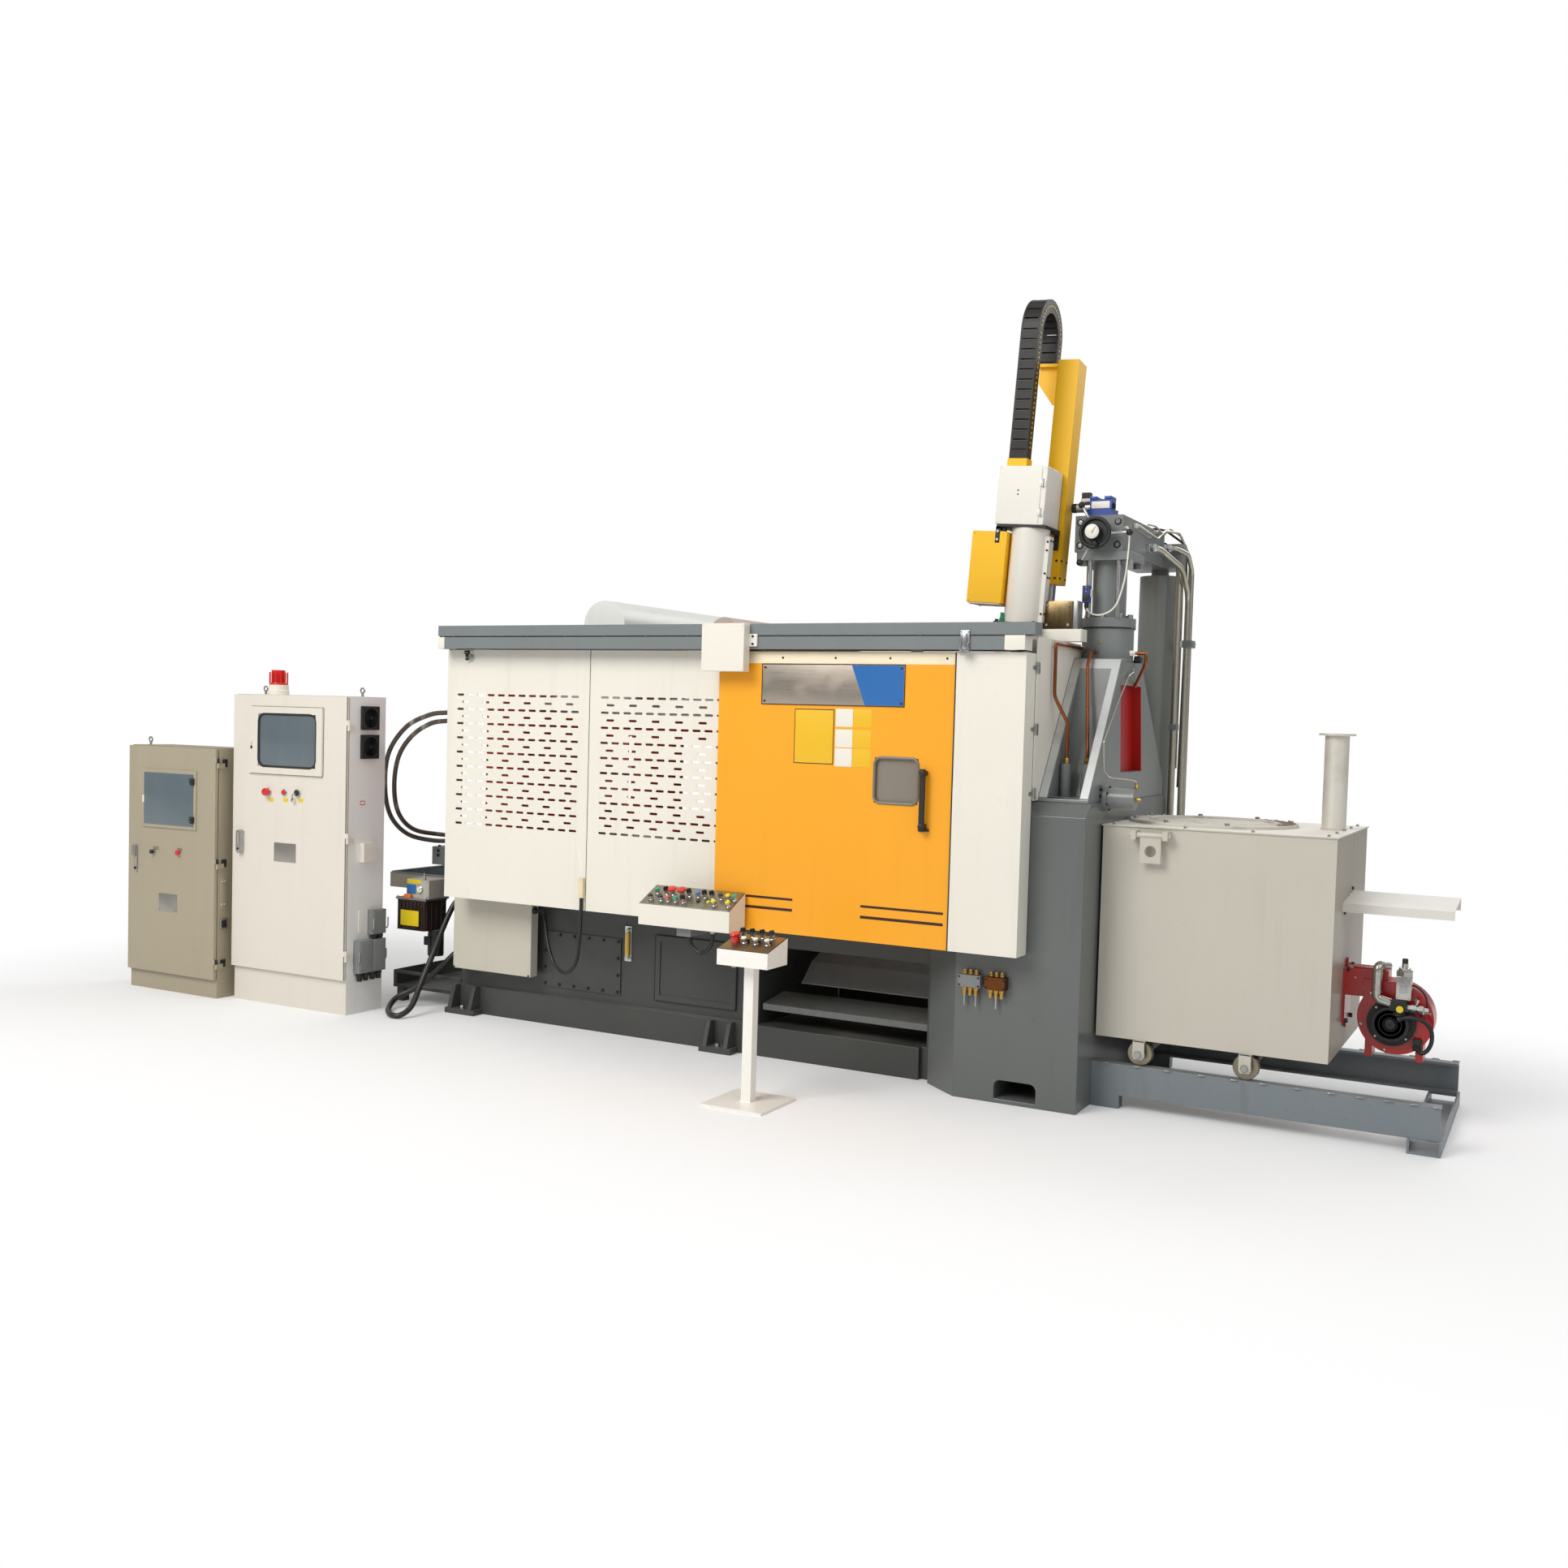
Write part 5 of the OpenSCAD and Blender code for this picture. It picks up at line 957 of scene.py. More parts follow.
copper = build("copper_lines", "machine",
               (tube(bent([(62, -92, 2075), (62, -515, 2075), (62, -510, 1838), (116, -470, 1718),
                           (116, -470, 1535)], 22, 8), 8, 16), copper_tube),
               (tube(bent([(130, -122, 2060), (130, -190, 2060), (135, -262, 1990), (205, -447, 1600),
                           (205, -447, 1535)], 22, 8), 8, 16), copper_tube),
               (tube(bent([(268, -28, 2058), (345, -28, 2058), (345, -28, 2010), (300, 20, 1940),
                           (277, 40, 1900)], 16, 7), 8, 16), copper_tube),
               slot=slots["copper_pipes"])
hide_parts("copper_pipes")
nut = turned([(14, 0), (14, 16), (12, 18), (10, 26)], (0, 0, 0), (0, 0, 1), 6)
build("pipe_unions", "machine",
      (copies(nut, [(116, -470, 1535), (205, -447, 1535)]), brass),
      (turned([(14, 0), (14, 16), (12, 18), (10, 26)], (66, -88, 2075), (-0.04, -1, 0), 6), zinc_plate),
      (turned([(14, 0), (14, 16), (12, 18), (10, 26)], (130, -118, 2060), FRONT, 6), mid_grey),
      (turned([(14, 0), (14, 16), (12, 18), (10, 26)], (268, -28, 2058), (1, 0, 0), 6), warm_white),
      (turned([(18, 0), (18, 30), (15, 34)], (277, 24, 2030), (1, 0, 0), 14), screw_black))
build("pipe_clamps", "machine",
      (pad((284, 724, 2130), (332, 744, 2160), 0, 3, 1.5), warm_white),
      (pad((328, 722, 2126), (380, 806, 2164), 2, 6, 2), manifold_grey),
      (screws((1, 0, 0), 9, 4, [(380, 740, 2145), (380, 790, 2145)]), zinc_plate),
      (pad((290, 668, 1700), (334, 712, 1730), 2, 5, 2), manifold_grey),
      (tube(bent([(226, 360, 2700), (226, 360, 2716), (246, 430, 2716), (262, 480, 2690), (262, 560, 2690),
                  (262, 640, 2730), (300, 760, 2700), (300, 800, 2600), (300, 815, 2300), (300, 815, 1500)],
                 12, 5), 5, 12), pipe_steel),
      (tube(bent([(244, 60, 2670), (262, 60, 2670), (262, 300, 2655), (262, 420, 2650), (262, 560, 2705),
                  (300, 700, 2712), (336, 800, 2600), (330, 820, 2300), (330, 820, 1500)],
                 14, 5), 6, 12), pipe_steel),
      (tube(bent([(200, 560, 2700), (200, 560, 2722), (240, 660, 2722), (314, 790, 2660), (316, 846, 2400),
                  (306, 846, 1400)], 16, 6), 6, 12), black_moulded),
      (turned([(12, 0), (12, 14), (9, 16)], (200, 560, 2700), UP, 6), zinc_plate),
      (turned([(13, 0), (13, 14), (10, 16), (10, 20)], (240, 60, 2670), (1, 0, 0), 6), warm_white))
dress("lock_cylinders", manifold_grey, 2, [((440, -445, 1370), (470, -415, 1400), brass)])
build("lock_pipe", "machine",
      (tube(bent([(278, -21, 1971), (290, -30, 1971), (290, -118, 1945), (290, -297, 1807), (290, -484, 1640),
                  (290, -477, 1573), (290, -469, 1509),
                  (310, -450, 1478), (400, -436, 1472), (430, -430, 1466), (430, -430, 1432)], 14, 6), 4, 12),
                  pipe_steel),
      (turned([(10, 0), (10, 12), (7, 16), (7, 26)], (430, -430, 1432), UP, 6), brass),
      (turned([(15, 0), (15, 12), (12, 14)], (276, -21, 1971), (1, 0, 0), 6), zinc_plate))
build("lock_bolts", "machine",
      (screws(FRONT, 14, 8, [(287, -480, 1395), (287, -480, 1425)]), screw_black),
      (screws((1, 0, 0), 12, 6, around((308.5, -430, 1385), 50, 30, 6, axis=0)), screw_black))

# Furnace: a welded sheet casing on two wheelsets, closed by a screwed top plate; pot ring,
# flue stub and two lifting lugs on top, all in the same warm grey.
furnace_paint = enamel("furnace_enamel", "CAC5B8", 0.4, 0.06, 0.08, 0.02, stain_colour="8a7a66")
# The casing's top face is painted lighter than its sides: painted light where the top faces up.
furnace_top = enamel("furnace_top", "EFEADF", 0.45, 0.08, 0.1, 0.02, stain_colour="8a7a66")
# The casing's burner side is painted darker and browner: painted shade on that side, with some stains.
burner_side_shade = enamel("furnace_burner_side_shade", "A69C8D", 0.45, 0.12, 0.2, 0.02, stain_colour="6e6252")
dress("furnace_body", furnace_paint, 1.5, [((600, -300, 1270), (1000, 300, 1272), furnace_top),
                                           ((1294, -200, 700), (1298, 200, 900), burner_side_shade),
                                           ((400, -450, 200), (1100, 450, 316), dark_grey)])
plate_screw = turned([(9, 0), (9, 1.5), (7, 2), (7, 8), (6, 9.5)], (0, 0, 0), UP, 6)
build("top_plate_screws", "furnace",
      (copies(plate_screw, [(x, y, 1271) for x in (342, 658, 947) for y in (-448, 438)]
              + [(1256, y, 1271) for y in (-440, -215, 5, 225, 438)]), zinc_plate))
pot_iron = enamel("pot_iron", "D2CEC2", 0.6, 0.2, 0.35, 0.3, 60.0, 0.5, 0.0)
dress("furnace_lid", pot_iron, 3)


def crust(start, end, inner, outer, floor_z, rows=14, columns=60):
    """Burnt rim: over the angles start to end and radii inner to outer the height is 7 times the product of
    two sine arches, broken up by three waves of unlike length."""
    u, v = np.meshgrid(np.linspace(0, 1, rows), np.linspace(0, 1, columns), indexing="ij")
    angle = start + (end - start) * v
    coarse, fine = 0.28 * np.sin(23 * angle + 5 * u), 0.22 * np.sin(57 * angle - 9 * u)
    wave = 0.5 + coarse + fine + 0.16 * np.cos(17 * u + 31 * angle)
    height = 7 * np.clip(np.sin(math.pi * u) * np.sin(math.pi * v) ** 0.4, 0, 1) * np.clip(wave, 0.08, 1.3)
    radius = inner + (outer - inner) * u + 5 * np.sin(19 * angle) * u
    points = np.stack([680 + radius * np.cos(angle), radius * np.sin(angle), floor_z + height], 2)
    index = np.arange(rows * columns).reshape(rows, columns)
    quads = np.stack([index[:-1, :-1], index[1:, :-1], index[1:, 1:], index[:-1, 1:]], -1)
    return points.reshape(-1, 3), quads.reshape(-1, 4).tolist()


burnt = enamel("burnt_rim", "6F5B45", 0.8, 0.6, 0.6, 0.1, 90.0, 0.8, 0.0)
build("pot_details", "furnace",
      (crust(-0.35, 1.25, 296, 371, 1284.6), burnt),
      (crust(2.4, 3.9, 300, 350, 1284.6), pot_iron),
      (turned([(380, 0), (380, 3), (377, 5)], (680, 0, 1271), UP, 96), pot_iron),
      (turned([(292, 0), (292, 7), (286, 12), (280, 12), (276, 7), (276, 0)], (680, 0, 1278), UP, 96),
       pot_iron),
      (copies(hex_head(UP, 20, 9), around((680, 0, 1285), 352, 22, 8, axis=2)), zinc_plate))
flue_metal = finish("flue_metal", mark_tree, {"Colour": linear("E6E2D8"), "Roughness": 0.4,
                    "Stretch": (20, 20, 1), "Tarnish": 0.3, "Tarnish Colour": linear("a39c8c")},
                    0.05, 0.001, metallic=0.35)
dress("furnace_flue", flue_metal, 1.5)
build("flue_weld", "furnace",
      (turned([(54, 0), (56.5, 2), (56, 5), (53, 7)], (1200, 75, 1270.5), UP, 48), furnace_paint),
      (copies(turned([(7, 0), (7, 0.6)], (0, 0, 0), UP, 14), around((1200, 75, 1695), 66, 45, 4, axis=2)),
       screw_black))
dress("front_lug", furnace_paint, 2)
dress("rear_lug", furnace_paint, 2)
build("saddle_welds", "furnace",
      (copies(tube([(440, 0, 1215), (452, 0, 1213), (464, 0, 1215)], 3, 8), [(0, -478, 0), (140, -478, 0)]),
       furnace_paint))

# Burner roof: a folded sheet screwed to the furnace's wall, lighter than the casing.
roof_paint = enamel("roof_enamel", "E6E2DA", 0.38, 0.05, 0.06, 0.08)
dress("burner_roof", roof_paint, 0.8)
build("roof_screws", "furnace",
      (screws((1, 0, 0), 15, 7, [(1296, -188, 927), (1296, -79, 985), (1296, 36, 1016)]), screw_black))

# Burner: red castings, with air drum, blast tube on a four bolt flange, and a black ribbed
# motor; gas comes through a nickel plated valve with a black regulator and its elbow pipe.
burner_red = enamel("burner_red", "B8140F", 0.3, 0.08, 0.05, 0.08, coat=0.4)
dress("burner", burner_red, 3, [((1390, -200, 350), (1610, -131, 570), black_moulded)])
ribs = [(turned([(r - 2, 0), (r - 1, 3), (r + 1, 3), (r + 2, 0)], (1501, -190, 462), FRONT, 48),
         black_moulded) for r in (28, 46, 64)]
build("burner_details", "furnace",
      *ribs,
      (turned([(22, 0), (22, 5), (18, 7), (5, 7), (4, 4)], (1501, -190, 462), FRONT, 24), black_moulded),
      (copies(hex_head(FRONT, 10, 4), around((1501, -150, 462), 88, 45, 4, axis=1)), zinc_plate),
      (screws(FRONT, 11, 5, around((1514, -130, 479), 143, 15, 6, axis=1)), zinc_plate),
      (turned([(148, 0), (152, 3), (155.5, 3), (155.5, 9), (152, 9), (148, 12)],
              (1514, -124, 479), (0, 1, 0), 72), burner_red),
      (screws(FRONT, 9, 4, [(1381, -120, 596), (1427, -120, 624), (1345, -120, 640)]), zinc_plate),
      (copies(hex_head((1, 0, 0), 20, 11),
              [(1308, y, z) for y, z in ((-118, 676), (28, 676), (-118, 446), (28, 446))]), screw_black),
      (copies(turned([(16, 0), (16, 8)], (0, 0, 0), (1, 0, 0), 20), [(1300.5, -45, 680), (1300.5, -45, 440)]),
       burner_red),
      (pad((1332, -104, 679), (1470, -16, 686), 2, 8, 2), burner_red),
      (pad((1560, -131, 395), (1640, -128, 520), 1, 12, 1), burner_red))
nickel = bare("nickel_plate", "C6C4BE", 0.24, (30, 30, 30), 0.18)
disc_yellow = enamel("disc_yellow", "E8D21C", 0.3, 0.03, 0.05, 0.0)
elbow = bent([(1482, -128, 706), (1462, -160, 710), (1442, -192, 712), (1442, -192, 570), (1500, -192, 556)],
             24, 7)
gas = build("gas_line", "furnace",
            (tube(elbow, 15, 18), nickel),
            (tube(elbow[6:16], 20, 18), nickel), (tube(elbow[15:26], 20, 18), nickel),
            (copies(turned([(22, 0), (22, 8), (20, 9)], (0, 0, 0), UP, 18),
                    [(1442, -192, 676), (1442, -192, 596)]), nickel),
            (pad((1494, -208, 524), (1566, -140, 574), 1, 8, 3), black_moulded),
            (turned([(26, 0), (26, 16), (22, 20)], (1530, -174, 520), (0, 0, -1), 18), black_moulded),
            (turned([(19, 0), (19, 5), (17, 7), (15, 7), (15, 6), (2, 6)], (1539, -208, 536), FRONT, 28),
             black_moulded),
            (turned([(15, 0), (14.5, 1)], (1539, -213.6, 536), FRONT, 28), disc_yellow),
            (pad((1518, -200, 574), (1580, -144, 676), 1, 7, 3), nickel),
            (screws(FRONT, 8, 3, [(x, -200, z) for x in (1526, 1572) for z in (584, 666)]), zinc_plate),
            (pad((1534, -202, 606), (1564, -199.5, 642), 1, 2, 1), zinc_plate),
            (turned([(36, 0), (36, 20), (32, 24)], (1549, -172, 676), UP, 6), nickel),
            (turned([(24, 0), (24, 10), (13, 14), (13, 28), (10, 31)], (1549, -172, 700), UP, 20), nickel),
            (turned([(12, 0), (12, 16), (9, 19)], (1549, -172, 731), UP, 16), black_moulded),
            (turned([(16, 0), (16, 14), (20, 15), (20, 34), (15, 36), (15, 44), (21, 45), (21, 64), (16, 68),
                     (12, 84)], (1566, -180, 540), (1, 0, -0.06), 6), nickel),
            (turned([(7, 0), (7, 14), (10, 15), (10, 24)], (1600, -180, 556), (0.2, 0, 1), 6), nickel),
            slot=slots["gas_train"])
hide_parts("gas_train")
build("burner_conduit", "furnace",
      (tube(smooth([(1540, -194, 492), (1580, -200, 503), (1630, -196, 494), (1662, -190, 462),
                    (1668, -186, 410), (1652, -184, 368), (1625, -180, 352), (1600, -150, 372)], 60), 9, 14),
                    black_moulded),
      (tube(smooth([(1549, -150, 640), (1600, -150, 628), (1634, -150, 590), (1640, -146, 540),
                    (1616, -128, 500)], 40), 4, 10), black_moulded),
      (copies(turned([(13, 0), (13, 12), (11, 16)], (0, 0, 0), (0.9, 0, 0.3), 12), [(1530, -194, 488)]),
       black_moulded),
      (pad((1590, -150, 352), (1626, -128, 404), 1, 5, 2), black_moulded))

# Wheelsets: flanged steel wheels on through axles, each between two hanger plates, on rails
# of hollow section whose seam is stitched with short weld beads.
wheel_steel = bare("wheel_steel", "A39A86", 0.42, (30, 30, 30), 0.45)
dress("left_wheels", wheel_steel, 3)
dress("right_wheels", wheel_steel, 3)
for node, x in (("left", 500), ("right", 960)):
    build("wheel_hub_" + node, node + "_wheelset",
          (turned([(30, 0), (30, 1), (24, 1.4)], (x, -487, 257), FRONT, 28), wheel_steel),
          (turned([(30, 0), (30, 1), (24, 1.4)], (x, 487, 257), (0, 1, 0), 28), wheel_steel))
hanger = bar([(-26, 317), (-26, 246), (-18, 234), (18, 234), (26, 246), (26, 317)], -496, -490, 1)
build("wheel_hangers", "furnace",
      (copies(hanger, [(500, 0, 0), (960, 0, 0), (500, 986, 0), (960, 986, 0)]), furnace_paint),
      (copies(pad((-26, -496, 311), (26, -440, 317), 2, 2, 1), [(500, 0, 0), (960, 0, 0)]), furnace_paint),
      (copies(pad((-26, 440, 311), (26, 496, 317), 2, 2, 1), [(500, 0, 0), (960, 0, 0)]), furnace_paint),
      (copies(hex_head(FRONT, 30, 13), [(500, -496, 257), (960, -496, 257)]), zinc_plate),
      (copies(hex_head((0, 1, 0), 30, 13), [(500, 496, 257), (960, 496, 257)]), zinc_plate))
rail_grey = enamel("rail_enamel", "7C858A", 0.38, 0.16, 0.22, 0.2, coat=0.2)
dress("furnace_rails", rail_grey, 2)
bead = turned([(1, -17), (3.2, -13), (4, -6), (3.4, 0), (4, 7), (3, 13), (1, 17)], (0, 0, 0), (1, 0, 0), 10)
weld_bead = bare("weld_bead", "A9ACAD", 0.36, (20, 20, 20), 0.3)
build("rail_welds", "machine",
      (copies(bead, [(x, y, 201.7) for y in (-499, 499)
                     for x in (354, 497, 630, 780, 918, 1039, 1180, 1316, 1430, 1538, 1637, 1725)]), weld_bead),
      (pad((1690, -499, 58), (1730, -474, 60.5), 2, 6, 1), screw_black))

# Control cabinets: folded sheet in powder coat on plinths, with flush lock handles, dark
# glazed windows, lifting eyes and, on the white one, fans, a socket and a red beacon.
cabinet_beige = enamel("cabinet_beige", "AEA48D", 0.4, 0.05, 0.05, 0.08, 420.0, 0.12)
cabinet_white = enamel("cabinet_white", "E6E0D4", 0.4, 0.05, 0.05, 0.06, 420.0, 0.12)
signal_red = enamel("signal_red", "D8231A", 0.22, 0.04, 0.0, 0.0, coat=0.5)
dark_glass = finish("dark_glass", coat_tree, {"Colour": linear("5F6D74"), "Mottle": 0.25, "Stains": 0.06,
                                              "Dust": 0.0,
                    "Roughness": 0.12, "Grain": 3.0, "Stain Colour": linear("8b979c")}, 0.02, 0.002, coat=0.9)
dress("cabinet_1", cabinet_beige, 2, [((-5335, -1050, 1445), (-5290, -1020, 1500), zinc_plate)])
dress("cabinet_1_door", cabinet_beige, 2.5,
      [((-5375, -1120, 788), (-5340, -1095, 852), zinc_plate), ((-5215, -1110, 800), (-5180, -1095, 840),
              bright_steel),
       ((-5002, -1120, 810), (-4968, -1095, 844), signal_red), ((-4691, -1100, 195), (-4670, -1070, 1390),
               black_moulded),
       ((-5271, -1096, 994), (-4871, -1092, 1277), dark_glass)])
# The white cabinet's side face is painted whiter and cooler than its front: painted light on that side.
cabinet_lit_side = enamel("cabinet_lit_side", "F4F3F0", 0.36, 0.05, 0.05, 0.04, 420.0, 0.12)
dress("cabinet_2", cabinet_white, 2,
      [((-3764, -1015, 0), (-3758, -700, 1765), cabinet_lit_side), ((-3761.5, -915, 1410), (-3740, -775, 1712),
              black_moulded), ((-3761.5, -840, 430), (-3720, -725, 575), light_grey),
       ((-3761.5, -905, 840), (-3730, -800, 955), warm_white), ((-3761.5, -945, 225), (-3710, -735, 410),
               light_grey),
       ((-4460, -950, 1786), (-4360, -850, 1905), signal_red), ((-4575, -880, 1761), (-4530, -840, 1815),
               zinc_plate),
       ((-3820, -880, 1761), (-3780, -840, 1815), zinc_plate)])
dress("cabinet_2_door", cabinet_white, 2.5,
      [((-4582, -1045, 857), (-4539, -1017, 980), zinc_plate), ((-4375, -1050, 1185), (-4325, -1017, 1235),
              signal_red),
       ((-4240, -1035, 1195), (-4205, -1017, 1230), signal_red), ((-4132, -1035, 1198), (-4100, -1017, 1232),
               bright_steel)])


def loop_of(low, high, corner, y, radius, sides=8):
    """Round bead along a rounded rectangle that stands in the plane y."""
    plate = pad((low[0], -1, low[1]), (high[0], 1, high[1]), corner=corner, edge=0.2, steps=8)
    line = plate[0].reshape(8, -1, 3)[3].copy()
    line[:, 1] = y
    return tube(line, radius, sides, closed=True)


bare_yellow = enamel("bare_yellow_plate", "E9CE20", 0.3, 0.03, 0.05, 0.0)
plate_metal_bare = bare("bare_plate", "B9B6AE", 0.36, (1, 60, 60), 0.15)
# Beige cabinet: glass flush in its frame, two black hinges, a pull, and the lock handle.
build("cabinet_1_details", "left_cabinet_door",
      (pad((-5283, -1104, 983), (-4862, -1099, 1286), corner=4, edge=1.5), dark_glass),
      (loop_of((-5285, 981), (-4860, 1288), 5, -1101, 2.5), cabinet_beige),
      (copies(pad((-18, -9, -18), (18, 0, 18), corner=3, edge=2), [(-4871, -1102, 1245), (-4871, -1102, 1023)]),
       black_moulded),
      (copies(turned([(6, -20), (7, -18), (7, 18), (6, 20)], (0, -8, 0), UP, 12),
              [(-4862, -1103, 1245), (-4862, -1103, 1023)]), black_moulded),
      (screws(FRONT, 6, 2, [(-4880, -1111, z) for z in (1235, 1255, 1013, 1033)]), zinc_plate),
      (pad((-5289, -1111, 1108), (-5277, -1102, 1152), corner=3, edge=2), warm_white),
      (pad((-5368, -1101, 690), (-5342, -1094, 850), corner=13, edge=2, steps=8), zinc_plate),
      (pad((-5362, -1102.5, 702), (-5348, -1100.5, 792), corner=7, edge=1), cabinet_beige),
      (turned([(8, 0), (8, 5), (5, 5), (4, 2)], (-5355, -1101, 714), FRONT, 18), screw_black),
      (pad((-5204, -1100, 836), (-5162, -1094, 850), corner=2, edge=1), plate_metal_bare),
      (turned([(12, 0), (12, 14), (9, 18)], (-5198, -1106, 820), (-0.5, -1, 0), 18), screw_black),
      (pad((-5000, -1100, 838), (-4966, -1094, 852), corner=2, edge=1), plate_metal_bare),
      (turned([(17, 0), (17, 4), (15, 5)], (-4985, -1094, 827), FRONT, 24), bright_steel),
      (pad((-5156, -1095.6, 475), (-5000, -1094, 579), corner=3, edge=0.7), plate_metal_bare),
      (screws(FRONT, 6, 2, [(x, -1095.6, z) for x in (-5149, -5007) for z in (482, 572)]), zinc_plate))
build("cabinet_1_side", "machine",
      (copies(pad((-4692, -1046, -22), (-4686, -1012, 22), 0, 3, 1.5), [(0, 0, z) for z in (201, 781, 1359)]),
       black_moulded),
      (pad((-4692, -1054, 520), (-4689, -1004, 700), 0, 3, 1), cabinet_beige),
      (copies(pad((0, -15, -3), (7, 15, 3), 0, 2, 1.5), [(-4689, -1029, 676), (-4689, -1029, 544)]),
       warm_white),
      (screws((1, 0, 0), 7, 3, [(-4683, -1029 + s, z) for s in (-10, 10) for z in (676, 544)]), zinc_plate),
      (pad((-4692, -1055, 402), (-4684, -1000, 462), 0, 4, 2), zinc_plate),
      (pad((-4685, -1046, 410), (-4680, -1012, 452), 0, 3, 1), screw_black),
      (pad((-4692, -1048, 90), (-4688, -1008, 106), 0, 3, 1), cabinet_beige))
# White cabinet: a small glazed door within the door, buttons with bare yellow plates under
# them, keys in their lock, fan grilles and a socket on the side.
grille = [(turned([(r - 1.2, 0), (r, 1.6), (r + 1.2, 0)], (0, 0, 0), (1, 0, 0), 32),
           black_moulded) for r in (14, 24, 34, 44, 54)]
key = pad((-8, -1.5, -38), (8, 1.5, -20), corner=7, edge=0.6), pad((-2, -1, -20), (2, 1, 2), corner=1, edge=0.4)
build("cabinet_2_details", "right_cabinet_door",
      (pad((-4423, -1024, 1354), (-3979, -1019, 1650), corner=46, edge=1, steps=8), dark_glass),
      (loop_of((-4424, 1353), (-3978, 1651), 47, -1023, 8.5, 10), black_moulded),
      (loop_of((-4493, 1311), (-3931, 1692), 4, -1016.4, 1.4), screw_black),
      (pad((-4489, -1019, 1315), (-3935, -1016, 1688), corner=3, edge=1.5), cabinet_white),
      (turned([(10, 0), (10, 6), (8, 8)], (-4470, -1019, 1496), FRONT, 18), screw_black),
      (pad((-4484, -1028, 1488), (-4462, -1022, 1503), corner=2, edge=1), bright_steel),
      (copies(key[0], [(-4476, -1030, 1488)]), screw_black), (copies(key[1], [(-4476, -1030, 1488)]),
              bright_steel),
      (turned([(23, 0), (23, 5), (20, 7), (15, 7), (15, 20)], (-4350, -1016, 1210), FRONT, 28), zinc_plate),
      (turned([(14, 18), (21, 24), (22, 30), (19, 35), (8, 38)], (-4350, -1016, 1210), FRONT, 28), signal_red),
      (turned([(19, 0), (19, 4), (16, 6)], (-4223, -1016, 1212), FRONT, 28), zinc_plate),
      (turned([(18, 0), (18, 6), (15, 9), (10, 9)], (-4116, -1028, 1215), FRONT, 24), screw_black),
      (copies(key[0], [(-4138, -1040, 1206), (-4146, -1036, 1200)]), bright_steel),
      (copies(key[1], [(-4138, -1040, 1206), (-4146, -1036, 1200)]), bright_steel),
      (turned([(3, 0), (3, 24)], (-4116, -1036, 1212), (-1, -0.2, -0.3), 8), bright_steel),
      (copies(pad((-18, -1, -11), (18, 0, 11), corner=2, edge=0.4), [(-4328, -1016, 1166), (-4216, -1016, 1170),
              (-4100, -1016, 1173)]), bare_yellow),
      (pad((-4574, -1044, 850), (-4548, -1016, 984), corner=13, edge=2, steps=8), zinc_plate),
      (pad((-4567, -1045.5, 900), (-4555, -1043.5, 972), corner=6, edge=0.8), cabinet_beige),
      (turned([(7, 0), (7, 3), (4, 3), (3, 1)], (-4561, -1044, 876), FRONT, 18), screw_black),
      (pad((-4301, -1017.6, 820), (-4131, -1016, 927), corner=3, edge=0.7), plate_metal_bare),
      (screws(FRONT, 6, 2, [(x, -1017.6, z) for x in (-4294, -4138) for z in (828, 919)]), zinc_plate))
build("cabinet_2_side", "machine",
      *[(copies(shape, [(-3747, -845, 1642.5), (-3747, -845, 1483.5)]), paint) for shape, paint in grille],
      (copies(turned([(9, 0), (9, 3), (6, 4)], (0, 0, 0), (1, 0, 0), 20),
              [(-3747, -845, 1642.5), (-3747, -845, 1483.5)]), black_moulded),
      (screws((1, 0, 0), 7, 3, [(-3747, y, z) for y in (-902, -788) for z in (1587, 1698, 1427, 1540)]),
       screw_black),
      (copies(turned([(5, 0), (5, 0.8)], (0, 0, 0), (1, 0, 0), 14), [(-3741, -864, 925), (-3741, -846, 925),
              (-3741, -855, 898), (-3741, -864, 880), (-3741, -846, 880)]), screw_black),
      (turned([(11, 0), (11, 4), (9, 5)], (-3741, -822, 922), (1, 0, 0), 18), warm_white),
      (pad((-3763, -905, 1160), (-3762, -867, 1184), 0, 4, 0.4), signal_red),
      (pad((-3762.4, -901, 1164), (-3761.5, -871, 1180), 0, 3, 0.3), warm_white),
      (pad((-3763.6, -1012, 200), (-3762.4, -1009, 1755), 0, 0.5, 0.3), screw_black),
      (pad((-3763, -905, 445), (-3759, -862, 575), 0, 3, 1), warm_white),
      (pad((-3724, -829, 440), (-3719, -735, 566), 0, 6, 2), light_grey),
      (pad((-3716, -935, 234), (-3709, -845, 403), 0, 6, 2), light_grey),
      (pad((-3716, -835, 234), (-3709, -745, 403), 0, 6, 2), light_grey),
      (copies(tube([(-3730, 0, 0), (-3717, 0, 0), (-3712, 0, 10), (-3712, 0, 60)], 4, 8),
              [(0, -838, 465), (0, -726, 465), (0, -944, 290), (0, -737, 290)]), zinc_plate),
      (copies(turned([(17, 0), (19, 3), (19, 18), (15, 22), (15, 44), (12, 48)], (-3741, 0, 0), (0, 0, -1), 14),
              [(0, -806, 435), (0, -760, 435), (0, -912, 229), (0, -866, 229), (0, -814, 229), (0, -768, 229)]),
              black_moulded),
      (screws((1, 0, 0), 8, 3, [(-3719, y, z) for y in (-821, -743) for z in (450, 556)]
              + [(-3709, y, z) for y in (-926, -854, -826, -754) for z in (246, 391)]), zinc_plate),
      (turned([(59, 0), (59, 24), (55, 28), (55, 56)], (-4407, -900, 1760), UP, 40), warm_white),
      (copies(turned([(4, 0), (4, 60)], (0, 0, 0), UP, 8),
              around((-4407, -900, 1828), 49, 0, 12, axis=2)), signal_red),
      (turned([(50, 0), (52, 3), (52, 9), (50, 12)], (-4407, -900, 1816), UP, 40), signal_red))

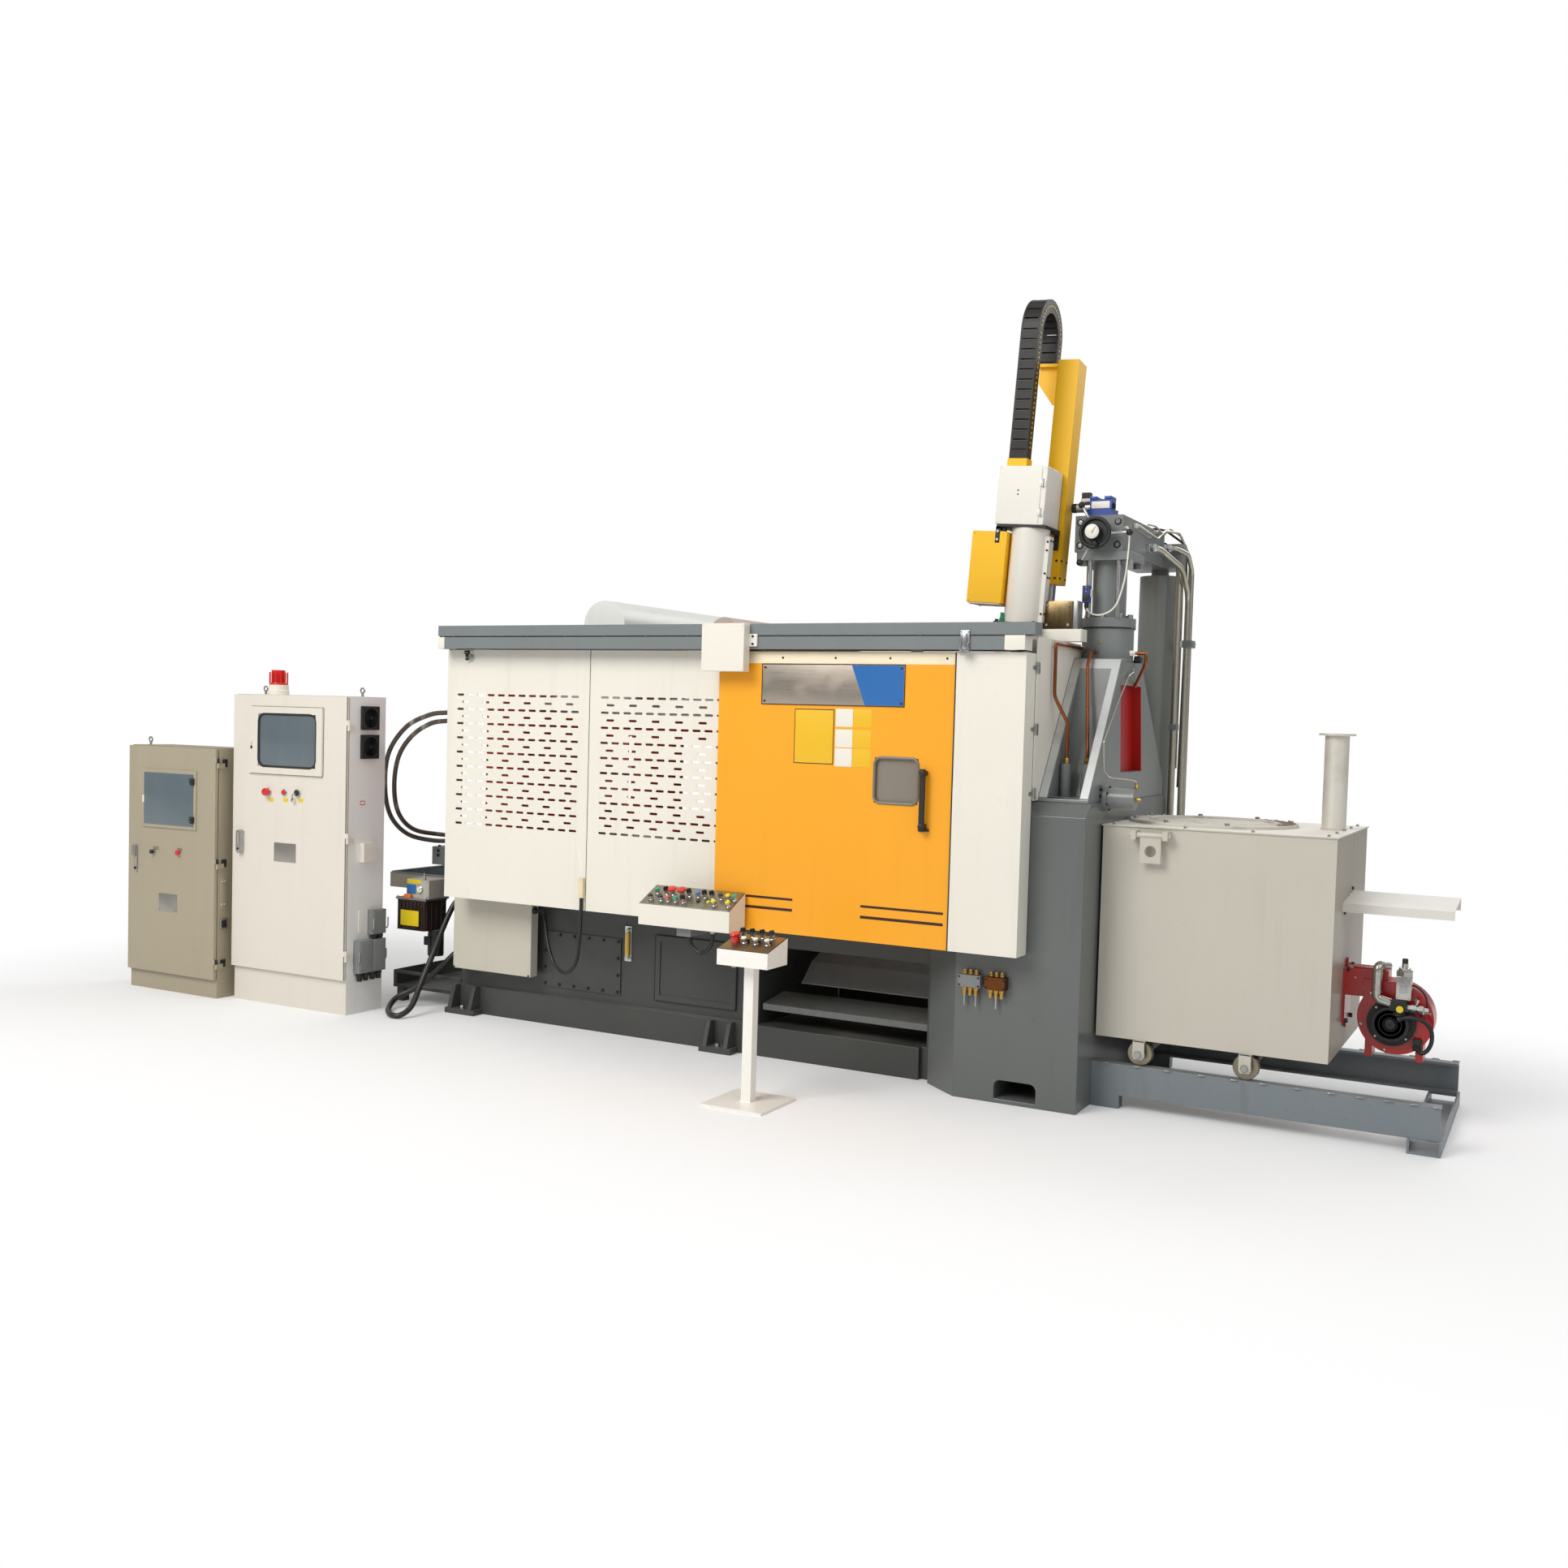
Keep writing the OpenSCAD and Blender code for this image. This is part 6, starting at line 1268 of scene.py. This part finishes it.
# Operator's console on an arm from the bed: a sheet desk whose sloping brushed plate holds
# two rows of push buttons and selectors in chromed collars; a cable loops under it.
console_metal = bare("console_plate", "A7A392", 0.34, (1, 60, 60), 0.35, "6f6752")
dress("console", warm_white, 2.5,
      [((-1833, -1001, 784), (-1329, -850, 866), console_metal),
       ((-1642, -962, 630), (-1558, -480, 684), light_grey)])
cap_paint = {"black": screw_black, "red": signal_red,
             "salmon": enamel("cap_salmon", "E0604A", 0.3, 0.03, 0.0, 0.0),
             "green": enamel("cap_green", "2FAE7E", 0.3, 0.03, 0.0, 0.0),
             "blue": enamel("cap_blue", "3E7FD2", 0.3, 0.03, 0.0, 0.0),
             "yellow": enamel("cap_yellow", "EFE01F", 0.3, 0.03, 0.0, 0.0),
             "white": enamel("cap_white", "F4F4F0", 0.28, 0.02, 0.0, 0.0)}
collar = [(15, -1), (15, 4), (13, 6), (12, 6), (12, 18), (13.5, 19), (13.5, 22)]


def control(base, normal, kind, colour):
    """One control on a plate: a turned collar along the plate's normal, and on it a cap, a mushroom or a
    winged knob, whose wing is two rectangles joined across the normal."""
    along = np.array(normal, float) / np.linalg.norm(normal)
    made = [(turned(collar, base, along, 20), bright_steel)]
    if kind == "push":
        made.append((turned([(12, 21), (12.5, 26), (11, 28), (4, 28.5)], base, along, 20), cap_paint[colour]))
    elif kind == "mushroom":
        made.append((turned([(13, 20), (22, 28), (23, 34), (20, 38), (8, 40)], base, along, 28),
                     cap_paint[colour]))
    else:
        first = np.array([math.cos(0.7), math.sin(0.7) * along[2], -math.sin(0.7) * along[1]])
        second = np.cross(along, first)
        reach = np.array([[12, 4], [13, 4], [10, 3]])[:, None] * np.array([[1, 1], [-1, 1], [-1, -1],
                [1, -1]])[None]
        rise = np.array([22.0, 30, 42])[:, None, None] * along
        made.append((turned([(13, 21), (13, 25), (11, 27)], base, along, 20), cap_paint["black"]))
        made.append((wall(np.array(base, float) + rise + reach[..., :1] * first + reach[..., 1:] * second),
                     cap_paint[colour]))
    return made


desk_normal = (0, -0.447, 0.894)
back_row = [(-1782, "push", "green"), (-1728, "turn", "black"), (-1692, "mushroom", "red"),
            (-1638, "mushroom", "red"),
            (-1597, "turn", "black"), (-1548, "push", "blue"), (-1509, "turn", "black"),
            (-1468, "turn", "black"),
            (-1420, "push", "black"), (-1380, "push", "yellow"), (-1345, "push", "green")]
front_row = [(-1786, "push", "black"), (-1728, "push", "black"), (-1688, "push", "salmon"),
             (-1645, "push", "green"),
             (-1600, "turn", "black"), (-1428, "push", "yellow"), (-1350, "push", "yellow")]
build("console_controls", "machine",
      *[part for x, kind, colour in back_row for part in control((x, -914, 832.4), desk_normal, kind, colour)],
      *[part for x, kind, colour in front_row for part in control((x, -966, 806.4), desk_normal, kind, colour)],
      *[(turned([(9, 0), (9, 5), (7, 7)], (x, -950, 814.5), desk_normal, 16), cap_paint[colour]) for x,
        colour in ((-1472, "yellow"), (-1530, "black"))],
      (copies(turned([(5, 0), (5, 1.5), (3, 2)], (0, 0, 0), desk_normal, 10),
              [(x, y, 790.4 + (y + 999) * 0.5) for x in (-1824, -1578, -1338) for y in (-989, -861)]),
              zinc_plate))
build("console_glands", "machine",
      (copies(turned([(17, 0), (17, 9), (14, 11), (14, 18), (11, 22)], (0, 0, 0), (0, 0, -1), 12),
              [(-1588, -925, 684), (-1458, -925, 684)]), zinc_plate))
cable_black = enamel("cable_black", "1E1D1C", 0.42, 0.08, 0.0, 0.15, 500.0, 0.12, 0.1)


FLOOR_GAP = 0.6


def cable(name, body, route, radius, paint, count, sides=14, node=None):
    """Hose or cable fixed at both ends: a round tube along the smooth curve through its route."""
    line = smooth(route, count)
    line[:, 2] = np.maximum(line[:, 2], radius + FLOOR_GAP)
    made_cable = build(name, body, (tube(line, radius, sides), paint))
    if node:
        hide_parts(node)
    return made_cable


cable("console_cable", "machine", [(-1588, -925, 664), (-1587, -925, 634), (-1572, -925, 592),
                                   (-1523, -925, 562), (-1474, -925, 592), (-1459, -925, 634),
                                   (-1458, -925, 664)],
      10, cable_black, 49)

# Second operating station on its own post and floor plate: a box with a bare brushed top,
# a red mushroom button, four selectors behind and three white buttons in front.
station_white = enamel("station_enamel", "FBF8F1", 0.38, 0.03, 0.04, 0.02)
station_plate = bare("station_plate", "8F8468", 0.36, (1, 60, 60), 0.5, "4d4330")
dress("control_station", station_white, 4,
      [((-1100, -1385, 712.5), (-1055, -1335, 750), signal_red), ((-1036, -1380, 712.5), (-890, -1340, 735),
              screw_black)], steps=3)
slope = (0, -0.258, 0.966)
build("station_plate", "machine",
      (wall(np.array([[(-1113, -1444, 690.2 + e), (-871, -1444, 690.2 + e), (-871, -1276, 735 + e),
                       (-1113, -1276, 735 + e)] for e in (0, 3.0)])), station_plate))
build("station_controls", "machine",
      *control((-1078, -1360, 717), slope, "mushroom", "red"),
      *[part for x in (-1068, -1020, -970, -922) for part in control((x, -1306, 731), slope, "turn", "black")],
      *[part for x in (-1026, -968, -910) for part in control((x, -1372, 713.5), slope, "push", "white")],
      (screws(FRONT, 7, 2.5, [(x, -1450, z) for x in (-1108, -876) for z in (631, 680)]), station_white),
      (turned([(14, 0), (14, 10), (10, 14)], (-1060, -1400, 620), (0, 0, -1), 12), zinc_plate),
      (copies(tube([(-1026, 0, 12), (-999, 0, 12), (-972, 0, 12)], 3, 8), [(0, -1374, 0), (0, -1324, 0)]),
       station_white))

# Electrical box on the bed's front and, at the bed's left end, the grease unit: a pump head
# with a gauge and bare plates over a ribbed smoked reservoir, a motor, and a drip tray.
dress("electrical_box", enamel("box_enamel", "CDC8B9", 0.42, 0.05, 0.06, 0.08, 420.0, 0.12), 4)
build("electrical_box_screws", "machine",
      (screws(FRONT, 11, 3, [(x, -600, z) for x in (-3334, -2813) for z in (267, 683)]), screw_black),
      (turned([(20, 0), (20, 8), (16, 10), (16, 16), (13, 20)], (-2800, -575, 624), (1, 0, 0), 14),
       black_moulded),
      (pad((-3325, -540, 618), (-2830, -538, 684), 1, 2, 0.5), light_grey))
lube_grey = enamel("lube_grey", "767E82", 0.3, 0.1, 0.2, 0.15, coat=0.3)
pump_grey = enamel("pump_enamel", "B9B6AA", 0.34, 0.06, 0.1, 0.1)
smoked = enamel("smoked_plastic", "2A1A12", 0.14, 0.1, 0.05, 0.05, coat=0.5)
# The drip tray's front face is painted darker than the rest of the tray: painted shade under its rim.
tray_front_shade = enamel("tray_front_shade", "4F5457", 0.36, 0.1, 0.2, 0.15)
dress("lube_unit", lube_grey, 3,
      [((-4055, -351, 638), (-3622, -349, 730), tray_front_shade), ((-3786, -591, 609), (-3530, -345, 728),
              pump_grey), ((-3786, -591, 609), (-3558, -389, 622.5), bright_steel),
       ((-3775, -582, 436), (-3570, -398, 609.5), smoked), ((-3632, -516, 285), (-3538, -424, 436),
               black_moulded)])
build("pump_details", "machine",
      (pad((-3728, -561.6, 644), (-3659, -560, 697), corner=3, edge=0.7), plate_blue),
      (pad((-3727, -561.8, 703), (-3625, -560, 726), corner=3, edge=0.7), bare_yellow),
      (turned([(22, 0), (22, 9), (19, 11), (18.5, 9)], (-3628, -560, 673), FRONT, 28), bright_steel),
      (turned([(18.6, 0), (18.6, 0.4)], (-3628, -568.8, 673), FRONT, 24), dial_white),
      (bar([(-3629, 665), (-3627, 665), (-3617, 682), (-3618, 683)], -570, -569, 1), screw_black),
      (turned([(14, 0), (14, 15), (12, 19), (6, 20)], (-3717, -575, 622), UP, 20),
       enamel("orange_cap", "F2761E", 0.3)),
      (turned([(14, 0), (14, 15), (12, 19), (6, 20)], (-3694, -575, 622), UP, 20),
       enamel("orange_cap_side", "F2761E", 0.3)),
      (screws(FRONT, 8, 3, [(x, -560, z) for x in (-3722, -3572) for z in (632, 718)]), zinc_plate),
      (copies(hex_head(UP, 12, 6), [(x, y, 622) for x in (-3776, -3570) for y in (-580, -400)]), zinc_plate),
      (pad((-3747, -588, 463), (-3612, -586, 551), corner=3, edge=0.7), bare_yellow),
      (copies(pad((-5, -587, 440), (5, -579, 606), 1, 2, 1.5),
              [(x, 0, 0) for x in (-3766, -3752, -3592, -3578)]), smoked),
      (copies(pad((-9, -586, 556), (9, -579, 602), 1, 4, 1.5),
              [(x, 0, 0) for x in (-3728, -3700, -3672, -3644, -3616)]), smoked),
      (pad((-3778, -585, 437), (-3567, -395, 446), 2, 8, 3), smoked),
      (pad((-3778, -585, 600), (-3567, -395, 610), 2, 8, 3), smoked),
      (copies(pad((-4, -572, 446), (4, -564, 600), 0, 2, 1), [(-3570, s, 0) for s in (0, 40, 80, 120)]),
       smoked),
      (turned([(9, 0), (9, 14), (6, 18), (6, 40)], (-3600, -556, 727), UP, 12), zinc_plate),
      (copies(turned([(46.5, 0), (46.5, 3), (45, 4)], (-3585, -470, 0), UP, 36),
              [(0, 0, z) for z in range(300, 420, 12)]), black_moulded),
      (pad((-3628, -524, 350), (-3580, -512, 400), 1, 4, 2), black_moulded))
rim = bent([(-3626, -348, 728), (-4051, -348, 728), (-4051, 348, 728), (-3626, 348, 728)], 30, 8)
build("tray_details", "machine",
      (tube(rim, 5.5, 10), lube_grey),
      (screws(FRONT, 18, 8, [(-3771, -250, z) for z in (866, 840)] + [(-3560, -250, z) for z in (960, 1010)]),
       screw_black),
      (screws(UP, 18, 8, [(x, y, 888) for x in (-3790, -3700) for y in (-220, 220)]), screw_black),
      (pad((-3818, -252, 784), (-3700, -250, 800), 1, 3, 0.8), lube_grey))

# Hoses and cables: speckled oil hoses in a rising loop from the guard to the drive block, a
# braided bundle looping over the floor, and smooth black cables.
oil_hose = finish("oil_hose", coat_tree, {"Colour": linear("4A4038"), "Mottle": 0.5, "Stains": 0.9, "Dust": 0.2,
                                          "Roughness": 0.36,
                  "Grain": 320.0, "Stain Colour": linear("B9AD9C")}, 0.4, 0.003, coat=0.3)
bundle_black = enamel("braided_bundle", "191817", 0.4, 0.2, 0.1, 0.1, 380.0, 0.4, 0.25, "6a6560")
hose_routes = {
    "upper_oil_hose": ([(-3258, -740, 1685), (-3300, -740, 1685), (-3420, -740, 1670), (-3600, -725, 1600),
                        (-3760, -690, 1450), (-3850, -620, 1250),
                        (-3880, -540, 1080), (-3850, -430, 970), (-3760, -310, 930), (-3660, -215, 930),
                        (-3600, -215, 930)], 13, oil_hose, 90),
    "lower_oil_hose": ([(-3258, -735, 1640), (-3300, -735, 1640), (-3420, -732, 1622), (-3570, -712, 1550),
                        (-3700, -675, 1430), (-3790, -610, 1260),
                        (-3830, -530, 1100), (-3815, -420, 1000), (-3750, -270, 965), (-3660, -150, 955),
                        (-3600, -150, 955)], 13, oil_hose, 90),
    "floor_bundle": ([(-3370, -468, 640), (-3398, -468, 640), (-3426, -510, 590), (-3446, -575, 460),
                      (-3462, -630, 330), (-3472, -710, 180),
                      (-3452, -810, 60), (-3470, -885, 19), (-3540, -880, 17), (-3660, -765, 17),
                      (-3690, -670, 60), (-3600, -600, 120),
                      (-3490, -560, 220), (-3426, -500, 310), (-3398, -468, 340), (-3370, -468, 340)], 16,
                      bundle_black, 120),
    "switch_cable": ([(-2333, -791, 752), (-2333, -791, 690), (-2350, -775, 540), (-2400, -735, 400),
                      (-2490, -700, 332), (-2590, -665, 365),
                      (-2660, -635, 470), (-2705, -605, 585), (-2750, -575, 624), (-2800, -575, 624)], 9,
                      cable_black, 90),
    "sensor_cable": ([(80, -134, 2290), (80, -134, 2268), (110, -165, 2238), (170, -180, 2230),
                      (230, -175, 2270), (262, -158, 2380),
                      (272, -145, 2500), (270, -125, 2600), (256, -110, 2640), (240, -110, 2640)], 4,
                      warm_white, 90)}
for name, (route, radius, paint, count) in hose_routes.items():
    cable(name, "machine", route, radius, paint, count, node="service_hoses")
build("hose_ends", "machine",
      (copies(turned([(17, 0), (17, 22), (15, 24), (15, 60)], (0, 0, 0), (-1, 0, 0), 12),
              [(-3600, -215, 930), (-3600, -150, 955)]), zinc_plate),
      (turned([(21, 0), (21, 14), (18, 18), (18, 30)], (-3370, -468, 640), (-1, 0, 0), 12), zinc_plate),
      (turned([(21, 0), (21, 14), (18, 18), (18, 30)], (-3370, -468, 340), (-1, 0, 0), 12), zinc_plate))
